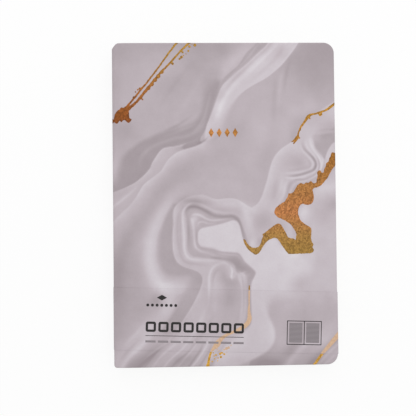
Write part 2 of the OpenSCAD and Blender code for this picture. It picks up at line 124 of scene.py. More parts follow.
def flatSheet(left, right, low, high, cell):
    # a square of side 1, stretched and moved to its place
    bm = bmesh.new()
    bmesh.ops.create_grid(bm, x_segments=max(1, round((right - left) / cell)),
        y_segments=max(1, round((high - low) / cell)), size=0.5)
    grow = Matrix.Diagonal((right - left, high - low, 1, 1))
    bmesh.ops.transform(bm, verts=bm.verts, matrix=Matrix.Translation(
        ((left + right) / 2, (low + high) / 2, 0)) @ grow)
    return bm


def cutAcross(bm, places, along):
    # straight cuts through a sheet, across its x or its y
    normal = Vector((1, 0, 0)) if along == "x" else Vector((0, 1, 0))
    for place in places:
        bmesh.ops.bisect_plane(bm, geom=bm.verts[:] + bm.edges[:] + bm.faces[:],
            dist=finishing["cut"], plane_co=normal * place, plane_no=normal)


def layer(bm, name):
    return bm.verts.layers.float.get(name) or bm.verts.layers.float.new(name)


def columns(bm, *names):
    # the sheet's x and y and the named layers, each as one array
    flat = np.array([v.co[:2] for v in bm.verts])
    layers = [layer(bm, name) for name in names]
    return [flat[:, 0], flat[:, 1]] + [np.array([v[l] for v in bm.verts]) for l in layers]


def mark(bm, name, values):
    # one float for each vertex, which the material or the next step reads
    which = layer(bm, name)
    for v, value in zip(bm.verts, values):
        v[which] = value


def thicken(bm, name, top, bottom):
    # a sheet becomes a closed plate: one side is lifted to top, the other to bottom
    lift = layer(bm, name)
    for v in bm.verts:
        v[lift] = bottom
    made = bmesh.ops.extrude_face_region(bm, geom=bm.faces[:])
    for item in made["geom"]:
        if isinstance(item, bmesh.types.BMVert):
            item[lift] = top


def finishPiece(name, bm, places, material):
    # places are millimetres for each vertex
    for v, place in zip(bm.verts, places * mm):
        v.co = place
    bmesh.ops.remove_doubles(bm, verts=bm.verts, dist=finishing["weld"])
    bmesh.ops.recalc_face_normals(bm, faces=bm.faces)
    for face in bm.faces:
        face.smooth = True
    mesh = bpy.data.meshes.new(name)
    bm.to_mesh(mesh)
    bm.free()
    for spare in list(mesh.attributes):
        if spare.name.startswith("sheet"):
            mesh.attributes.remove(spare)
    mesh.set_sharp_from_angle(angle=math.radians(finishing["sharp"]))
    mesh.materials.append(material)
    piece = bpy.data.objects.new(name, mesh)
    bpy.context.collection.objects.link(piece)
    print(f"{name}: {len(mesh.polygons)} faces")
    return piece


# Materials. Object coordinates are metres, so perMm turns a size in millimetres into a
# texture scale.
noiseSpan = {"From Min": 0.3, "From Max": 0.7}      # nearly all of a noise lies between these


def perMm(size):
    return 1000 / size


def perBand(size):
    # the same for a wave texture, which turns once in pi / 10
    return perMm(size) * math.pi / 10


def hexColour(code):
    # sRGB hex to the linear colour that a socket takes
    channels = [int(code[i:i + 2], 16) / 255 for i in (1, 3, 5)]
    return tuple(c / 12.92 if c < 0.04045 else ((c + 0.055) / 1.055) ** 2.4
        for c in channels) + (1,)


def addNode(tree, kind, links=None, values=None, **settings):
    # values and links are keyed by socket name or number; a link is (node, output)
    node = tree.nodes.new("ShaderNode" + kind)
    for key, value in settings.items():
        setattr(node, key, value)
    for key, value in (values or {}).items():
        node.inputs[key].default_value = value
    for key, (source, output) in (links or {}).items():
        tree.links.new(source.outputs[output], node.inputs[key])
    return node


def newMaterial(name, **values):
    material = bpy.data.materials.new(name)
    material.use_nodes = True
    tree = material.node_tree
    tree.nodes.clear()
    shader = addNode(tree, "BsdfPrincipled")
    for key, value in values.items():
        shader.inputs[key.replace("_", " ")].default_value = value
    addNode(tree, "OutputMaterial", {"Surface": (shader, "BSDF")})
    return material, tree, shader


def fillRamp(ramp, stops):
    # stops: place from 0 to 1 and a hex colour
    elements = ramp.color_ramp.elements
    while len(elements) < len(stops):
        elements.new(0.5)
    for element, (place, code) in zip(elements, stops):
        element.position = place
        element.color = hexColour(code)


def grainBump(tree, shader, place, size, strength, height):
    # fine relief from noise, its size and height in millimetres
    grain = addNode(tree, "TexNoise", {"Vector": place},
        {"Scale": perMm(size), "Detail": 3, "Roughness": 0.55})
    bump = addNode(tree, "Bump", {"Height": (grain, "Fac")},
        {"Strength": strength, "Distance": height * mm})
    tree.links.new(bump.outputs["Normal"], shader.inputs["Normal"])
    return grain


printed = {
    "inks": [(0, "#978b90"), (0.25, "#a99ea3"), (0.5, "#bbb0b6"), (0.75, "#cdc5cb"),
        (1, "#dedade")],
    # size, detail and roughness of the patches of thinner ink and of its dots, and how far
    # they change the tone
    "patches": (9, 5, 0.6, 0.04),
    "dots": (0.9, 2, 0.5, 0.02),
    "grainStrength": 0.35,
    "polished": 0.06,       # how much smoother the grain's hollows are, and rougher its tops
    "matted": 0.08,
}


def marbledMaterial(name, roughness, contrast, grain, relief, specular):
    # the print's tone is an attribute of the piece: 0 dark ink, 1 bare pale ground
    material, tree, shader = newMaterial(name, Roughness=roughness, IOR=1.5,
        Specular_IOR_Level=specular)
    coords = addNode(tree, "TexCoord")
    uneven = []
    for size, detail, rough, gain in (printed["patches"], printed["dots"]):
        ink = addNode(tree, "TexNoise", {"Vector": (coords, "Object")},
            {"Scale": perMm(size), "Detail": detail, "Roughness": rough})
        uneven.append(addNode(tree, "MapRange", {"Value": (ink, "Fac")},
            {**noiseSpan, "To Min": -gain, "To Max": gain}))
    varied = addNode(tree, "Math", {i: (part, "Result") for i, part in enumerate(uneven)},
        operation="ADD")
    tone = addNode(tree, "Attribute", attribute_name="tone")
    scaled = addNode(tree, "Math", {0: (tone, "Fac"), 2: (varied, "Value")}, {1: contrast},
        operation="MULTIPLY_ADD")
    ramp = addNode(tree, "ValToRGB", {"Fac": (scaled, "Value")})
    fillRamp(ramp, printed["inks"])
    tree.links.new(ramp.outputs["Color"], shader.inputs["Base Color"])
    rough = grainBump(tree, shader, (coords, "Object"), grain, printed["grainStrength"], relief)
    wear = addNode(tree, "MapRange", {"Value": (rough, "Fac")},
        {"To Min": roughness - printed["polished"], "To Max": roughness + printed["matted"]})
    tree.links.new(wear.outputs["Result"], shader.inputs["Roughness"])
    return material


# polyurethane-coated fabric, printed and embossed with a fine even grain: a soft satin
marbledSkin = marbledMaterial("coatedFabric", roughness=0.46, contrast=1.0, grain=0.5,
    relief=0.03, specular=0.4)

# coated art paper, printed: smoother, with a little more sheen
printedPaper = marbledMaterial("coatedArtPaper", roughness=0.4, contrast=0.95, grain=1.4,
    relief=0.006, specular=0.4)


foil = {
    # colours up the cover, from 0 at the tail to 1 at the head
    "nearSpine": [(0.03, "#cf9f45"), (0.25, "#a88450"), (0.725, "#a87040"), (0.755, "#704020"),
        (0.785, "#7d4923"), (0.86, "#845529"), (0.97, "#8c6a30")],
    "nearFore": [(0.05, "#c79a4c"), (0.345, "#92723c"), (0.40, "#9a7440"), (0.47, "#a86f44"),
        (0.55, "#986a3c"), (0.64, "#8a5c2a"), (0.8, "#9a7232")],
    "across": (-20, 30),        # the second takes over between these places across the cover
    "glintSize": 0.8,               # size of a painted glint of sparkle
    "glintShades": (0.5, 1.4),  # the darkest and the brightest painted glint
    "grain": 0.5,               # the cover's own grain, pressed through
    "grainStrength": 0.5,
    "relief": 0.03,
}


def foilMaterial():
    # hot-stamped foil: thin metal on the cover's grain, so its gloss breaks into sparkle, and painted
    # glints in its colour add more; it runs from copper to pale gold down the cover, with more gold in
    # it towards the fore-edge
    material, tree, shader = newMaterial("hotStampedFoil", Metallic=0.9, Roughness=0.4)
    coords = addNode(tree, "TexCoord")
    parts = addNode(tree, "SeparateXYZ", {"Vector": (coords, "Object")})
    upward = addNode(tree, "MapRange", {"Value": (parts, "Y")},
        {"From Min": -cover["half"] * mm, "From Max": cover["half"] * mm})
    ramps = []
    for side in ("nearSpine", "nearFore"):
        ramps.append(addNode(tree, "ValToRGB", {"Fac": (upward, "Result")}))
        fillRamp(ramps[-1], foil[side])
    across = addNode(tree, "MapRange", {"Value": (parts, "X")},
        {"From Min": foil["across"][0] * mm, "From Max": foil["across"][1] * mm})
    ground = addNode(tree, "Mix", {0: (across, "Result"), 6: (ramps[0], "Color"),
        7: (ramps[1], "Color")}, data_type="RGBA")
    # painted glints: each cell of grain makes the foil's colour darker or brighter, standing in for sparkle
    # of light
    cells = addNode(tree, "TexVoronoi", {"Vector": (coords, "Object")},
        {"Scale": perMm(foil["glintSize"])})
    shade = addNode(tree, "MapRange", {"Value": (cells, "Color")},
        {"To Min": foil["glintShades"][0], "To Max": foil["glintShades"][1]})
    lit = addNode(tree, "Mix", {6: (ground, 2), 7: (shade, "Result")}, {0: 1.0},
        data_type="RGBA", blend_type="MULTIPLY")
    tree.links.new(lit.outputs[2], shader.inputs["Base Color"])
    grainBump(tree, shader, (coords, "Object"), foil["grain"], foil["grainStrength"],
        foil["relief"])
    return material


stampedFoil = foilMaterial()


def plainMaterial(name, low, high, size, roughness, relief, stretch=(1, 1, 1)):
    # two close colours mixed by noise of one size, with matching relief
    material, tree, shader = newMaterial(name, Roughness=roughness)
    coords = addNode(tree, "TexCoord")
    turned = addNode(tree, "Mapping", {"Vector": (coords, "Object")}, {"Scale": stretch})
    patches = addNode(tree, "TexNoise", {"Vector": (turned, "Vector")},
        {"Scale": perMm(size), "Detail": 4, "Roughness": 0.6})
    ramp = addNode(tree, "ValToRGB", {"Fac": (patches, "Fac")})
    fillRamp(ramp, [(0.35, low), (0.65, high)])
    tree.links.new(ramp.outputs["Color"], shader.inputs["Base Color"])
    grainBump(tree, shader, (turned, "Vector"), size / 2, 0.5, relief)
    return material


# metallic-look ink, printed: warm sand colour with a dull shine
goldInk = plainMaterial("goldInk", "#c6a285", "#d6b493", size=1.2, roughness=0.42, relief=0.004)

# wood-free paper for the endleaves: faint fibres, no shine
leafPaper = plainMaterial("endleafPaper", "#eae7df", "#f1eee7", size=0.8, roughness=0.85,
    relief=0.01)

# mull glued to the back of the sections, a loose open weave
backCloth = plainMaterial("mullCloth", "#d9d6cd", "#ece9e2", size=0.7, roughness=0.9,
    relief=0.05, stretch=(1, 0.3, 1))

# greyboard: pressed waste paper, speckled
greyBoard = plainMaterial("greyboard", "#8f877b", "#a59c8e", size=0.9, roughness=0.9,
    relief=0.02)


def pageMaterial():
    # cut edges of uncoated sheets: fine lines one above the other, drawn about three sheets
    # thick so that they show
    line = 0.35
    relief = 0.08
    longer = 0.02           # the noise is drawn out along the sheets
    material, tree, shader = newMaterial("cutPageEdges", Roughness=0.88)
    coords = addNode(tree, "TexCoord")
    flat = addNode(tree, "Mapping", {"Vector": (coords, "Object")},
        {"Scale": (longer, longer, 1)})
    sheets = addNode(tree, "TexNoise", {"Vector": (flat, "Vector")},
        {"Scale": perMm(line), "Detail": 3, "Roughness": 0.7})
    ramp = addNode(tree, "ValToRGB", {"Fac": (sheets, "Fac")})
    fillRamp(ramp, [(0.3, "#cfc8b8"), (0.5, "#e9e4d8"), (0.7, "#f3efe6")])
    tree.links.new(ramp.outputs["Color"], shader.inputs["Base Color"])
    bump = addNode(tree, "Bump", {"Height": (sheets, "Fac")},
        {"Strength": 0.6, "Distance": relief * mm})
    tree.links.new(bump.outputs["Normal"], shader.inputs["Normal"])
    return material


def beadMaterial():
    # woven bead: two threads in turn, wound across it
    thread = 1.0
    relief = 0.15
    material, tree, shader = newMaterial("wovenBead", Roughness=0.7)
    coords = addNode(tree, "TexCoord")
    threads = addNode(tree, "TexWave", {"Vector": (coords, "Object")},
        {"Scale": perBand(thread), "Distortion": 0.4, "Detail": 1}, bands_direction="Z")
    ramp = addNode(tree, "ValToRGB", {"Fac": (threads, "Fac")})
    fillRamp(ramp, [(0.4, "#a79ea3"), (0.6, "#ece9ea")])
    tree.links.new(ramp.outputs["Color"], shader.inputs["Base Color"])
    bump = addNode(tree, "Bump", {"Height": (threads, "Fac")},
        {"Strength": 0.8, "Distance": relief * mm})
    tree.links.new(bump.outputs["Normal"], shader.inputs["Normal"])
    return material


def dressNode(node, material):
    # a CAD node keeps its mesh and takes a finished material
    mesh = frame["nodes"][node].data
    mesh.materials.clear()
    mesh.materials.append(material)


pageEdges = pageMaterial()
beadThread = beadMaterial()
for node, material in {"page_block": pageEdges, "spine_lining": backCloth,
        "head_band": beadThread, "tail_band": beadThread, "front_board": greyBoard,
        "back_board": greyBoard, "spine_board": greyBoard}.items():
    dressNode(node, material)
print("materials ready")


# Marbling: the print's tone at any place on the cover, painted in the order of a list.
marbling = {
    "ground": 0.4,          # tone before anything is painted
    "waySteps": 4,          # stretches between two points of a way
    "fadeReaches": 5,       # an edge or a strand is lost in the ground this many reaches off
}

# Places are millimetres from the spine and the tail, and tones go from 0, the darkest ink, to
# 1, the palest.
#   cloud   gain, x, y, reach across, reach along and, if it is turned, degrees
#   field   tone, rim, outline: x, y and, where it differs from 1, how soft the rim is there
#   edge    gain and reach on the left of its way, the same on the right, way
#   strand  gain, width, way: x, y and, where it differs from 1, the strength there
inks = [
    # left of the sweep
    ("cloud", -0.16, 20, 214, 60, 9), ("cloud", -0.1, 8, 203, 12, 8), ("cloud", -0.14, 62, 214, 22, 26),
    ("cloud", -0.08, 2, 184, 4, 22), ("cloud", 0.05, 28, 186, 10, 24, -40),
    ("cloud", -0.06, 34, 180, 6, 14, -50), ("cloud", -0.13, 7, 152, 8, 8),
    ("cloud", -0.06, 56, 196, 8, 14),
    ("strand", 0.06, 1.6, [(50, 208, 0), (36, 196), (24, 182), (18, 172, 0)]),
    ("strand", -0.05, 1.6, [(60, 204, 0), (46, 190), (36, 176), (28, 166, 0)]),
    ("strand", 0.05, 2.2, [(66, 200, 0), (56, 184), (46, 168), (36, 158, 0)]),
    ("cloud", 0.16, 84, 201, 5, 17, -42), ("cloud", 0.1, 74, 194, 6, 12, -40),
    ("field", 0.12, 2.2, [(71, 184), (67, 172), (64, 158), (62, 146), (56, 140), (46, 136), (34, 134),
        (26, 120), (8, 112), (-12, 106), (-12, 116), (-2, 117.6, 2), (1.6, 122, 2), (4.4, 128, 1.8),
        (6, 134, 1.2), (9.6, 139, 0.9), (15, 143.2, 0.8), (20, 146.4, 0.8), (25, 148.6, 0.9),
        (30, 151, 0.9), (36, 153), (42, 154.4, 1.2), (48, 155.6, 1.2), (54, 159), (58.4, 166, 1.2),
        (59.6, 178, 1.6), (62, 186, 3), (68, 190, 3)]),
    ("strand", 0.12, 1.3, [(62, 166, 0), (59, 157), (54, 151.8), (48, 149), (42, 148), (36, 146.2),
        (30, 144.2), (25, 141.8), (20.4, 138), (18, 133.6, 0.6), (17.4, 128, 0)]),
    ("strand", 0.1, 0.9, [(56, 158, 0), (50, 154.8), (44, 152.8), (38, 150.4, 0.6), (32, 148.4, 0)]),
    ("strand", 0.07, 0.7, [(58, 150, 0), (53, 146), (46, 144.2), (40, 143.4, 0)]),
    ("strand", -0.16, 0.9, [(33, 152.4, 0), (39, 154.8), (43, 156.6), (48, 160, 0.6), (52, 163.4, 0)]),
    ("strand", 0.12, 1, [(64, 178, 0), (62, 170), (59.6, 162), (56, 155.6), (50, 150, 0)]),
    ("edge", 0.3, 3.4, 0, 1, [(112, 222, 0.8), (103, 213, 0.9), (96.4, 207.4), (91, 203), (84, 197),
        (78, 191.6, 0.9), (72.4, 186, 0.6), (69, 182, 0)]),
    # the ground on the other side of the sweep, and the streak beside it
    ("field", 0.43, 0.4, [(112, 220), (104, 213), (98.6, 207.4), (93.6, 203), (86, 196), (80, 190.6),
        (74.4, 186), (71, 182), (68.6, 176.4), (65.6, 168), (63, 161.4), (61, 155), (59, 151),
        (57.2, 148), (56.8, 146), (57.6, 144.6), (53, 142.4), (48, 141), (44, 139.8), (40, 138.6),
        (34, 140), (30, 138), (25.8, 131.6), (23.4, 127), (19.6, 123), (11, 117), (0, 113),
        (-12, 109.6), (-14, -14), (160, -14), (160, 224), (120, 224)]),
    ("field", 0.28, 0.5, [(68.6, 177), (69.8, 182), (71, 185.2), (76, 190), (82, 195.2), (84.8, 199),
        (87.4, 203), (93, 208.2), (99, 214), (106, 214), (100, 208.2), (94.6, 203.4), (86.6, 196.2),
        (80, 190.8), (75, 186.2), (71.6, 182)]),
    ("strand", 0.1, 0.7, [(98, 211, 0), (93, 206), (88.6, 200), (82.6, 194), (76, 188.4, 0)]),
    ("cloud", -0.3, 140, 205, 26, 20), ("cloud", -0.06, 122, 192, 10, 10),
    # the lighter cloud at x 1, y 127, on the shoulder where the cover turns down to the spine, is a painted
    # highlight
    ("cloud", -0.1, 136, 184, 14, 10), ("cloud", 0.16, 1, 127, 2.5, 8), ("cloud", 0.12, 97, 152, 6, 9),
    ("cloud", 0.07, 110, 152, 5, 8), ("cloud", -0.12, 118, 150, 2.5, 6, -20),
    ("cloud", -0.08, 80, 151, 6, 9), ("cloud", -0.07, 68, 136, 13, 6),
    ("cloud", -0.06, 50, 129, 12, 8, 20), ("cloud", 0.04, 88, 138, 8, 8),
    ("cloud", -0.09, 101, 137, 4, 9, -18), ("cloud", 0.1, 126, 166, 12, 5, 10),
    ("cloud", 0.05, 74, 116, 20, 7),
    ("strand", -0.16, 6, [(56, 131, 0), (46, 126.6, 0.5), (39, 121, 0.8), (32, 114), (26, 105),
        (18, 95, 0.9), (11, 86), (6, 76, 1.3), (3, 64, 1.8), (2, 50, 1.7), (2, 38, 1.4), (1, 26),
        (-2, 16, 0.8)]),
    ("cloud", -0.12, 65, 150, 4, 3), ("cloud", -0.1, 12, 58, 8, 18), ("cloud", -0.08, 14, 36, 8, 12),
    # the sweep itself
    ("field", 0.69, 0.4, [(124, 214), (121, 208.6), (117, 203), (110.6, 195.2), (104, 189.4),
        (98.4, 185.6), (90, 181), (83, 175.8, 2), (77.6, 169, 5), (73, 161, 9), (70, 154, 9),
        (66, 149, 6), (60, 147, 3), (60.8, 155), (63.4, 161.4), (66, 168), (69, 176.4), (71.6, 182),
        (76, 186.2), (81, 190.8), (87.6, 196), (95, 203), (100, 207.4), (106, 214)]),
    ("strand", 0.16, 2, [(101, 204, 0), (93, 196, 0.5), (84, 187, 0.8), (76.6, 179), (71.6, 171, 1.2),
        (68.4, 163), (64, 155, 0.3), (61, 150, 0)]),
    ("strand", -0.14, 1.1, [(108, 214), (98.6, 204), (93, 199), (88.6, 194.6), (84, 190), (79, 185.4),
        (74.6, 180, 0.5), (72, 174, 0)]),
    ("strand", 0.1, 1, [(113, 214, 0), (105, 206), (98, 199), (91, 192, 0.6), (86, 187, 0)]),
    ("strand", 0.08, 1.2, [(124, 211), (116, 202), (110, 195.6, 0.6), (100, 187, 0)]),
    ("strand", -0.08, 1.4, [(112, 210, 0), (110, 204), (103, 196), (94, 188), (85, 181, 0)]),
    ("strand", -0.11, 1.2, [(117, 199, 0), (114, 192), (112.6, 184), (111.6, 175, 0)]),
    ("strand", 0.07, 1.2, [(112, 194, 0), (109.6, 186), (108.6, 176), (108, 166, 0)]),
    ("strand", -0.07, 1.6, [(107, 190, 0), (105.6, 178), (105, 166), (104, 152, 0)]),
    # two folds below it
    ("field", 0.5, 0.3, [(48, 144.4), (44, 143.4), (40, 142.6), (36, 142.1), (33, 141.4), (30.4, 139.2),
        (28, 135.8), (25.6, 132), (24.4, 129), (23, 127), (20, 123.8), (15, 119.6), (10, 117),
        (5, 114.8), (0, 113), (-12, 110), (-12, 83), (0, 94.2), (6, 100), (11, 104.6), (14.4, 109),
        (17, 113.2), (19.6, 117.4), (23, 120.4), (28, 124), (31.4, 127), (33.4, 130.2), (35.6, 133.6),
        (38.6, 136.4), (42, 138.2), (46, 140, 3), (45, 141.6, 5), (46, 143.2, 3)]),
    ("cloud", -0.14, 43, 141, 3, 1.4, 10),
    ("edge", 0.16, 1.6, 0, 1, [(44, 143.4, 0.2), (40, 142.6, 0.3), (36, 142.1, 0.6), (33, 141.4, 0.8),
        (30.4, 139.2), (28, 135.8), (25.6, 132, 0.8), (24.4, 129, 0.6), (23, 127), (20, 123.8),
        (15, 119.6, 0.7), (10, 117, 0.3), (5, 114.8, 0), (-12, 110, 0)]),
    ("edge", 0.28, 4.6, -0.07, 1.5, [(66, 150.4, 0), (62, 147.6, 0.4), (57, 143.8, 0.9), (52, 142, 0.9),
        (47, 140.6, 0.9), (42, 138.6, 1.1), (38.6, 136.4, 1.1), (35.6, 133.6), (33.4, 130.2),
        (31.4, 127), (28, 124, 0.9), (23, 120.4, 1.1), (19.6, 117.4, 1.1), (17, 113.2, 1.1),
        (14.4, 109, 0.8), (11, 104.6, 0.8), (6, 100, 0.8), (0, 94.2, 0.6), (-12, 83, 0.3)]),
    ("strand", -0.2, 0.7, [(63, 149.4, 0), (60, 146.4), (57, 144.8), (54, 143.6, 0)]),
    ("strand", 0.14, 1, [(17, 118, 0), (12.6, 113.4, 0.7), (8, 109.8), (4, 106.4), (0, 103.4, 0.8),
        (-12, 94, 0.6)]),
    ("cloud", -0.08, 4, 111, 5, 2.4, 25),
    # the right-hand ground
    ("field", 0.6, 3.4, [(124, 108), (130, 113), (136, 120), (150, 130), (160, 130), (160, 43, 2.6),
        (128, 44, 2.6), (122, 60), (116, 78)]),
    ("cloud", -0.28, 146, 104, 8, 5), ("cloud", 0.14, 140, 115, 12, 4, 10),
    ("cloud", 0.16, 124, 98, 4, 6), ("cloud", -0.09, 136, 97, 7, 7), ("cloud", 0.1, 128, 71, 3, 3),
    ("cloud", -0.06, 134, 80, 5, 4), ("cloud", 0.06, 112, 44, 14, 6), ("cloud", -0.08, 139, 42, 4, 5),
    # the clouds at x 102 and x 128 on the tail make the cover darker towards its rolled tail edge: partly
    # the print's dark foot, partly painted shade of the edge
    ("cloud", -0.12, 116, 18, 10, 12), ("cloud", -0.22, 114, 10, 5, 5), ("cloud", -0.36, 102, 1, 12, 5),
    ("cloud", -0.3, 128, 1, 8, 5, 20), ("cloud", 0.12, 140, 22, 8, 6, 30),
    ("strand", 0.22, 2.2, [(110, -2), (116, 6), (122, 12), (130, 18, 0.6), (136, 24, 0)]),
    ("strand", -0.18, 2.4, [(126, -2), (132, 6), (139, 12), (148, 19)]),
    ("strand", 0.16, 1, [(130, -2), (136, 5), (142, 11), (150, 18)]),
    ("strand", 0.1, 0.9, [(134, -2), (140, 4), (150, 13)]),
    # ridge and pocket at the right
    ("field", 0.62, 0.5, [(119, 147.4), (115.4, 144.4), (110.6, 141.4), (107, 138), (104.4, 134.4),
        (102.8, 130.6), (101.4, 125.6), (99.8, 119.6), (97.8, 113.4), (96, 108.6), (93.4, 104.8),
        (89.6, 101.6), (85, 92), (84, 82), (88, 74), (100, 74), (116, 78, 3), (114, 104), (118, 116),
        (126, 120), (134, 124), (137.4, 134), (134, 140), (131, 145), (131, 149, 4), (142, 151, 4),
        (148, 160, 4), (146, 171), (134, 164.6), (127, 161), (122.6, 154.4)]),
    ("edge", 0, 1, 0.14, 2.4, [(92, 103, 0), (96, 108.6), (99.8, 119.6), (102.8, 130.6), (107, 138),
        (115.4, 144.4, 0.8), (119, 147.4, 0)]),
    ("cloud", -0.18, 142, 155, 8, 4, 10), ("cloud", -0.2, 121, 131, 5, 5, 20),
    ("cloud", -0.1, 113, 131, 6, 8), ("cloud", -0.24, 97, 93, 7, 6, 30),
    ("cloud", -0.1, 106, 108, 6, 9), ("cloud", 0.14, 89.5, 79, 3, 3),
    ("cloud", -0.1, 105, 114, 2, 9, -10),
    ("strand", 0.08, 1.6, [(100, 96, 0), (104, 105, 0.8), (108, 112), (109.6, 119), (110, 124, 0)]),
    ("strand", -0.12, 1, [(113, 126.2, 0), (116, 126.4, 0.5), (120, 126.8, 0.8), (124, 127.6, 0.6),
        (127, 128, 0.8), (128.2, 129.6), (128.2, 131.4), (126.4, 134, 0.5), (123, 137, 0)]),
    ("strand", 0.14, 0.8, [(108, 124, 0), (112, 124.4, 0.5), (116, 124.6, 0.8), (120, 124.9),
        (124, 125.7), (127.4, 126.9, 0.8), (129.4, 128.2), (130, 131), (128.2, 134), (125.4, 137, 0.9),
        (123, 140, 0.7), (121.6, 145, 0)]),
    ("strand", -0.44, 0.8, [(113, 122.4, 0), (116, 122.6, 0.6), (120, 123.1, 0.9), (124, 124.1, 0.9),
        (127.4, 125.2, 0.8), (130.2, 126.4, 0.9), (131.7, 128.4, 1.3), (132, 131, 1.2),
        (130.5, 134, 1.3), (127.8, 137, 0.8), (125.2, 139.6, 0.7), (123.6, 142.4, 0.4), (123, 146, 0)]),
    ("strand", 0.16, 0.7, [(111, 121.6, 0), (114, 121.5, 1.2), (118, 121.4, 1.2), (122, 121.9),
        (126, 123.2), (130, 124.8), (132.6, 126.8), (133.2, 130), (132.2, 134, 1.2),
        (129.8, 137.2, 0.9), (127.4, 140, 0.8), (126, 143, 0.7), (125.6, 147, 0)]),
    ("strand", -0.26, 0.7, [(117, 119.6, 0), (120, 120.3), (124, 120.2), (127.4, 121.4, 0.8),
        (131, 123.2, 0.7), (133.4, 126, 0.8), (134.2, 128.4), (134.1, 131, 1.1), (133.1, 134),
        (131, 137.2, 0.3), (129, 140, 0)]),
    ("strand", 0.2, 0.8, [(121, 118.6, 0), (124, 119), (127, 120), (130.6, 121.8, 0.8),
        (133.6, 124.2, 0.6), (135.2, 127.4, 0.9), (135.4, 131, 0.7), (134.1, 134.2, 1.2),
        (132, 137.4, 0.9), (129.8, 141, 0.8), (128.6, 145, 0.4), (128.4, 149, 0)]),
    ("cloud", 0.16, 136.8, 131, 1.6, 5, -10), ("cloud", 0.08, 129, 144, 2, 5, 20),
    ("strand", -0.24, 1.2, [(109.4, 101, 0), (111.2, 106, 0.6), (112.8, 110, 0.9), (113.8, 114),
        (115.4, 117.6, 0.9), (118, 119.4, 0.4), (121, 120, 0)]),
    ("strand", 0.12, 1.1, [(103.6, 100, 0.6), (107.6, 106, 0.8), (110.6, 110.4), (111.4, 115),
        (112.6, 118.6, 0.6), (115, 121, 0)]),
    ("field", 0.28, 0.5, [(132.6, 149, 5), (131.4, 146, 4), (131.2, 143.4, 2), (132, 141, 1.6),
        (133.6, 138.6, 2.4), (136, 136, 1.8), (138, 133.4), (139.4, 138), (141.4, 141.6), (145, 144.8),
        (156, 150), (156, 156, 5), (142, 152, 4), (137, 150.8, 5)]),
    ("cloud", 0.1, 133.4, 147, 2.4, 2.4), ("cloud", -0.06, 140, 149, 5, 2.4),
    ("strand", 0.1, 0.8, [(132, 149, 0), (138, 150.6), (146, 151.4), (156, 152)]),
    ("strand", -0.1, 0.8, [(130, 150.6, 0), (137, 152.6), (146, 153.2), (156, 154)]),
    ("field", 0.66, 0.5, [(138, 130), (138.2, 134), (139.6, 138), (141.6, 141.6), (145, 144.8),
        (156, 148), (156, 132), (148, 128)]),
    # glow and crescent at the left
    ("strand", 0.33, 5, [(42, 112, 0.25), (37.6, 109, 0.5), (33.8, 104, 0.65), (30.2, 98, 0.75),
        (27, 91, 0.85), (25, 84, 0.95), (23.8, 76), (23.6, 68), (25.6, 61, 0.95), (30, 55, 0.85),
        (36, 52, 0.8), (41, 51, 0.65), (45, 49, 0.4), (46, 46, 0)]),
    ("strand", 0.3, 6.4, [(30, 60, 0), (28, 54, 0.5), (32, 47, 0.9), (34, 40), (30, 33), (24, 27, 0.8),
        (18, 20, 0.7), (12, 12, 0.6), (6, 5, 0.6), (0, -2, 0.5)]),
    ("field", 0.28, 1.4, [(39, 105.4), (36.6, 101.6), (34, 96.6), (31.8, 91), (30, 85, 1.6),
        (29.2, 77, 1.8), (29.6, 69, 1.8), (31.6, 63, 1.6), (35.6, 59.8, 1.4), (42, 58.6, 1.4),
        (49, 58, 1.8), (48.4, 53, 2.4), (45, 46, 1.6), (40.6, 39, 1.2), (36.6, 32.4), (31, 24),
        (36, 22), (46, 28), (56, 40), (62, 56), (54, 66), (44, 72), (42, 90), (44, 104)]),
    # the loop: its ribbon, with the ink lines that follow it
    ("field", 0.56, 0.4, [(91.6, 101.4), (88.4, 103), (84, 105.6), (79.6, 108), (74, 108.4),
        (67.6, 107.9), (63.6, 108.8), (59, 110.8), (54, 111), (48.6, 109.6), (43.8, 106.8), (40, 103.2),
        (38.6, 99), (38.8, 92), (38.2, 86), (38.2, 80), (38.6, 74.6), (39.8, 70), (42, 66.6),
        (46, 64.2), (51.6, 62.4), (55.6, 60.2), (57.4, 56.6), (56.6, 52.4), (54, 46), (50, 38.6),
        (45, 31), (38.6, 22), (30, 12), (20, 0), (14, -8), (80, -8), (90, 30), (90, 56), (88, 74, 2),
        (89, 84, 6), (89.6, 94, 5)]),
    ("cloud", -0.28, 55, 106.4, 9, 2, -6), ("cloud", -0.12, 70, 101, 14, 2.4, -10),
    ("cloud", 0.18, 86, 98, 2.6, 9, 14), ("cloud", 0.1, 76, 105, 10, 2.4),
    ("edge", 0.2, 0.9, 0, 1, [(91, 101, 0.4), (84, 105.6, 0.9), (79.6, 108), (74, 108.4), (67.6, 107.9),
        (63.6, 108.8, 0.8), (59, 110.8, 0.4), (48.6, 109.6, 0.5), (43.8, 106.8, 0.6), (40, 103.2, 0.7),
        (38.8, 92, 0.8), (38.2, 80, 0.9), (39.8, 70, 0.8), (46, 64.2, 0.2), (55.6, 60.2, 0.2),
        (57, 54, 0.5), (50, 38.6, 0.5), (38.6, 22, 0)]),
    ("strand", -0.14, 0.9, [(44, 103, 0), (42.2, 97), (41.6, 90), (41.8, 82), (43, 74), (45.4, 68.6),
        (50, 66.6, 0.9), (58, 65.6, 0.5), (64, 65, 0)]),
    ("strand", -0.16, 0.7, [(50, 105, 0), (45.4, 103), (44, 99, 0.7), (43.4, 92, 0.8), (43.4, 84, 0.8),
        (44, 76, 0.6), (46, 71, 0)]),
    ("strand", 0.22, 0.9, [(52, 105.4, 0), (47.6, 104.4, 0.4), (45.2, 101, 0.7), (45, 96, 0.9),
        (45.4, 90), (45.8, 84), (45.8, 78), (46.6, 73), (49.4, 69.8), (55, 68.8, 0.8), (62, 68.4, 0.6),
        (68, 68.2, 0.5), (73, 66.6, 0.4), (76, 63, 0)]),
    ("field", 0.37, 0.6, [(46.8, 100.6), (47.2, 95), (47.6, 90), (47.9, 84), (47.7, 78), (48.4, 74.4),
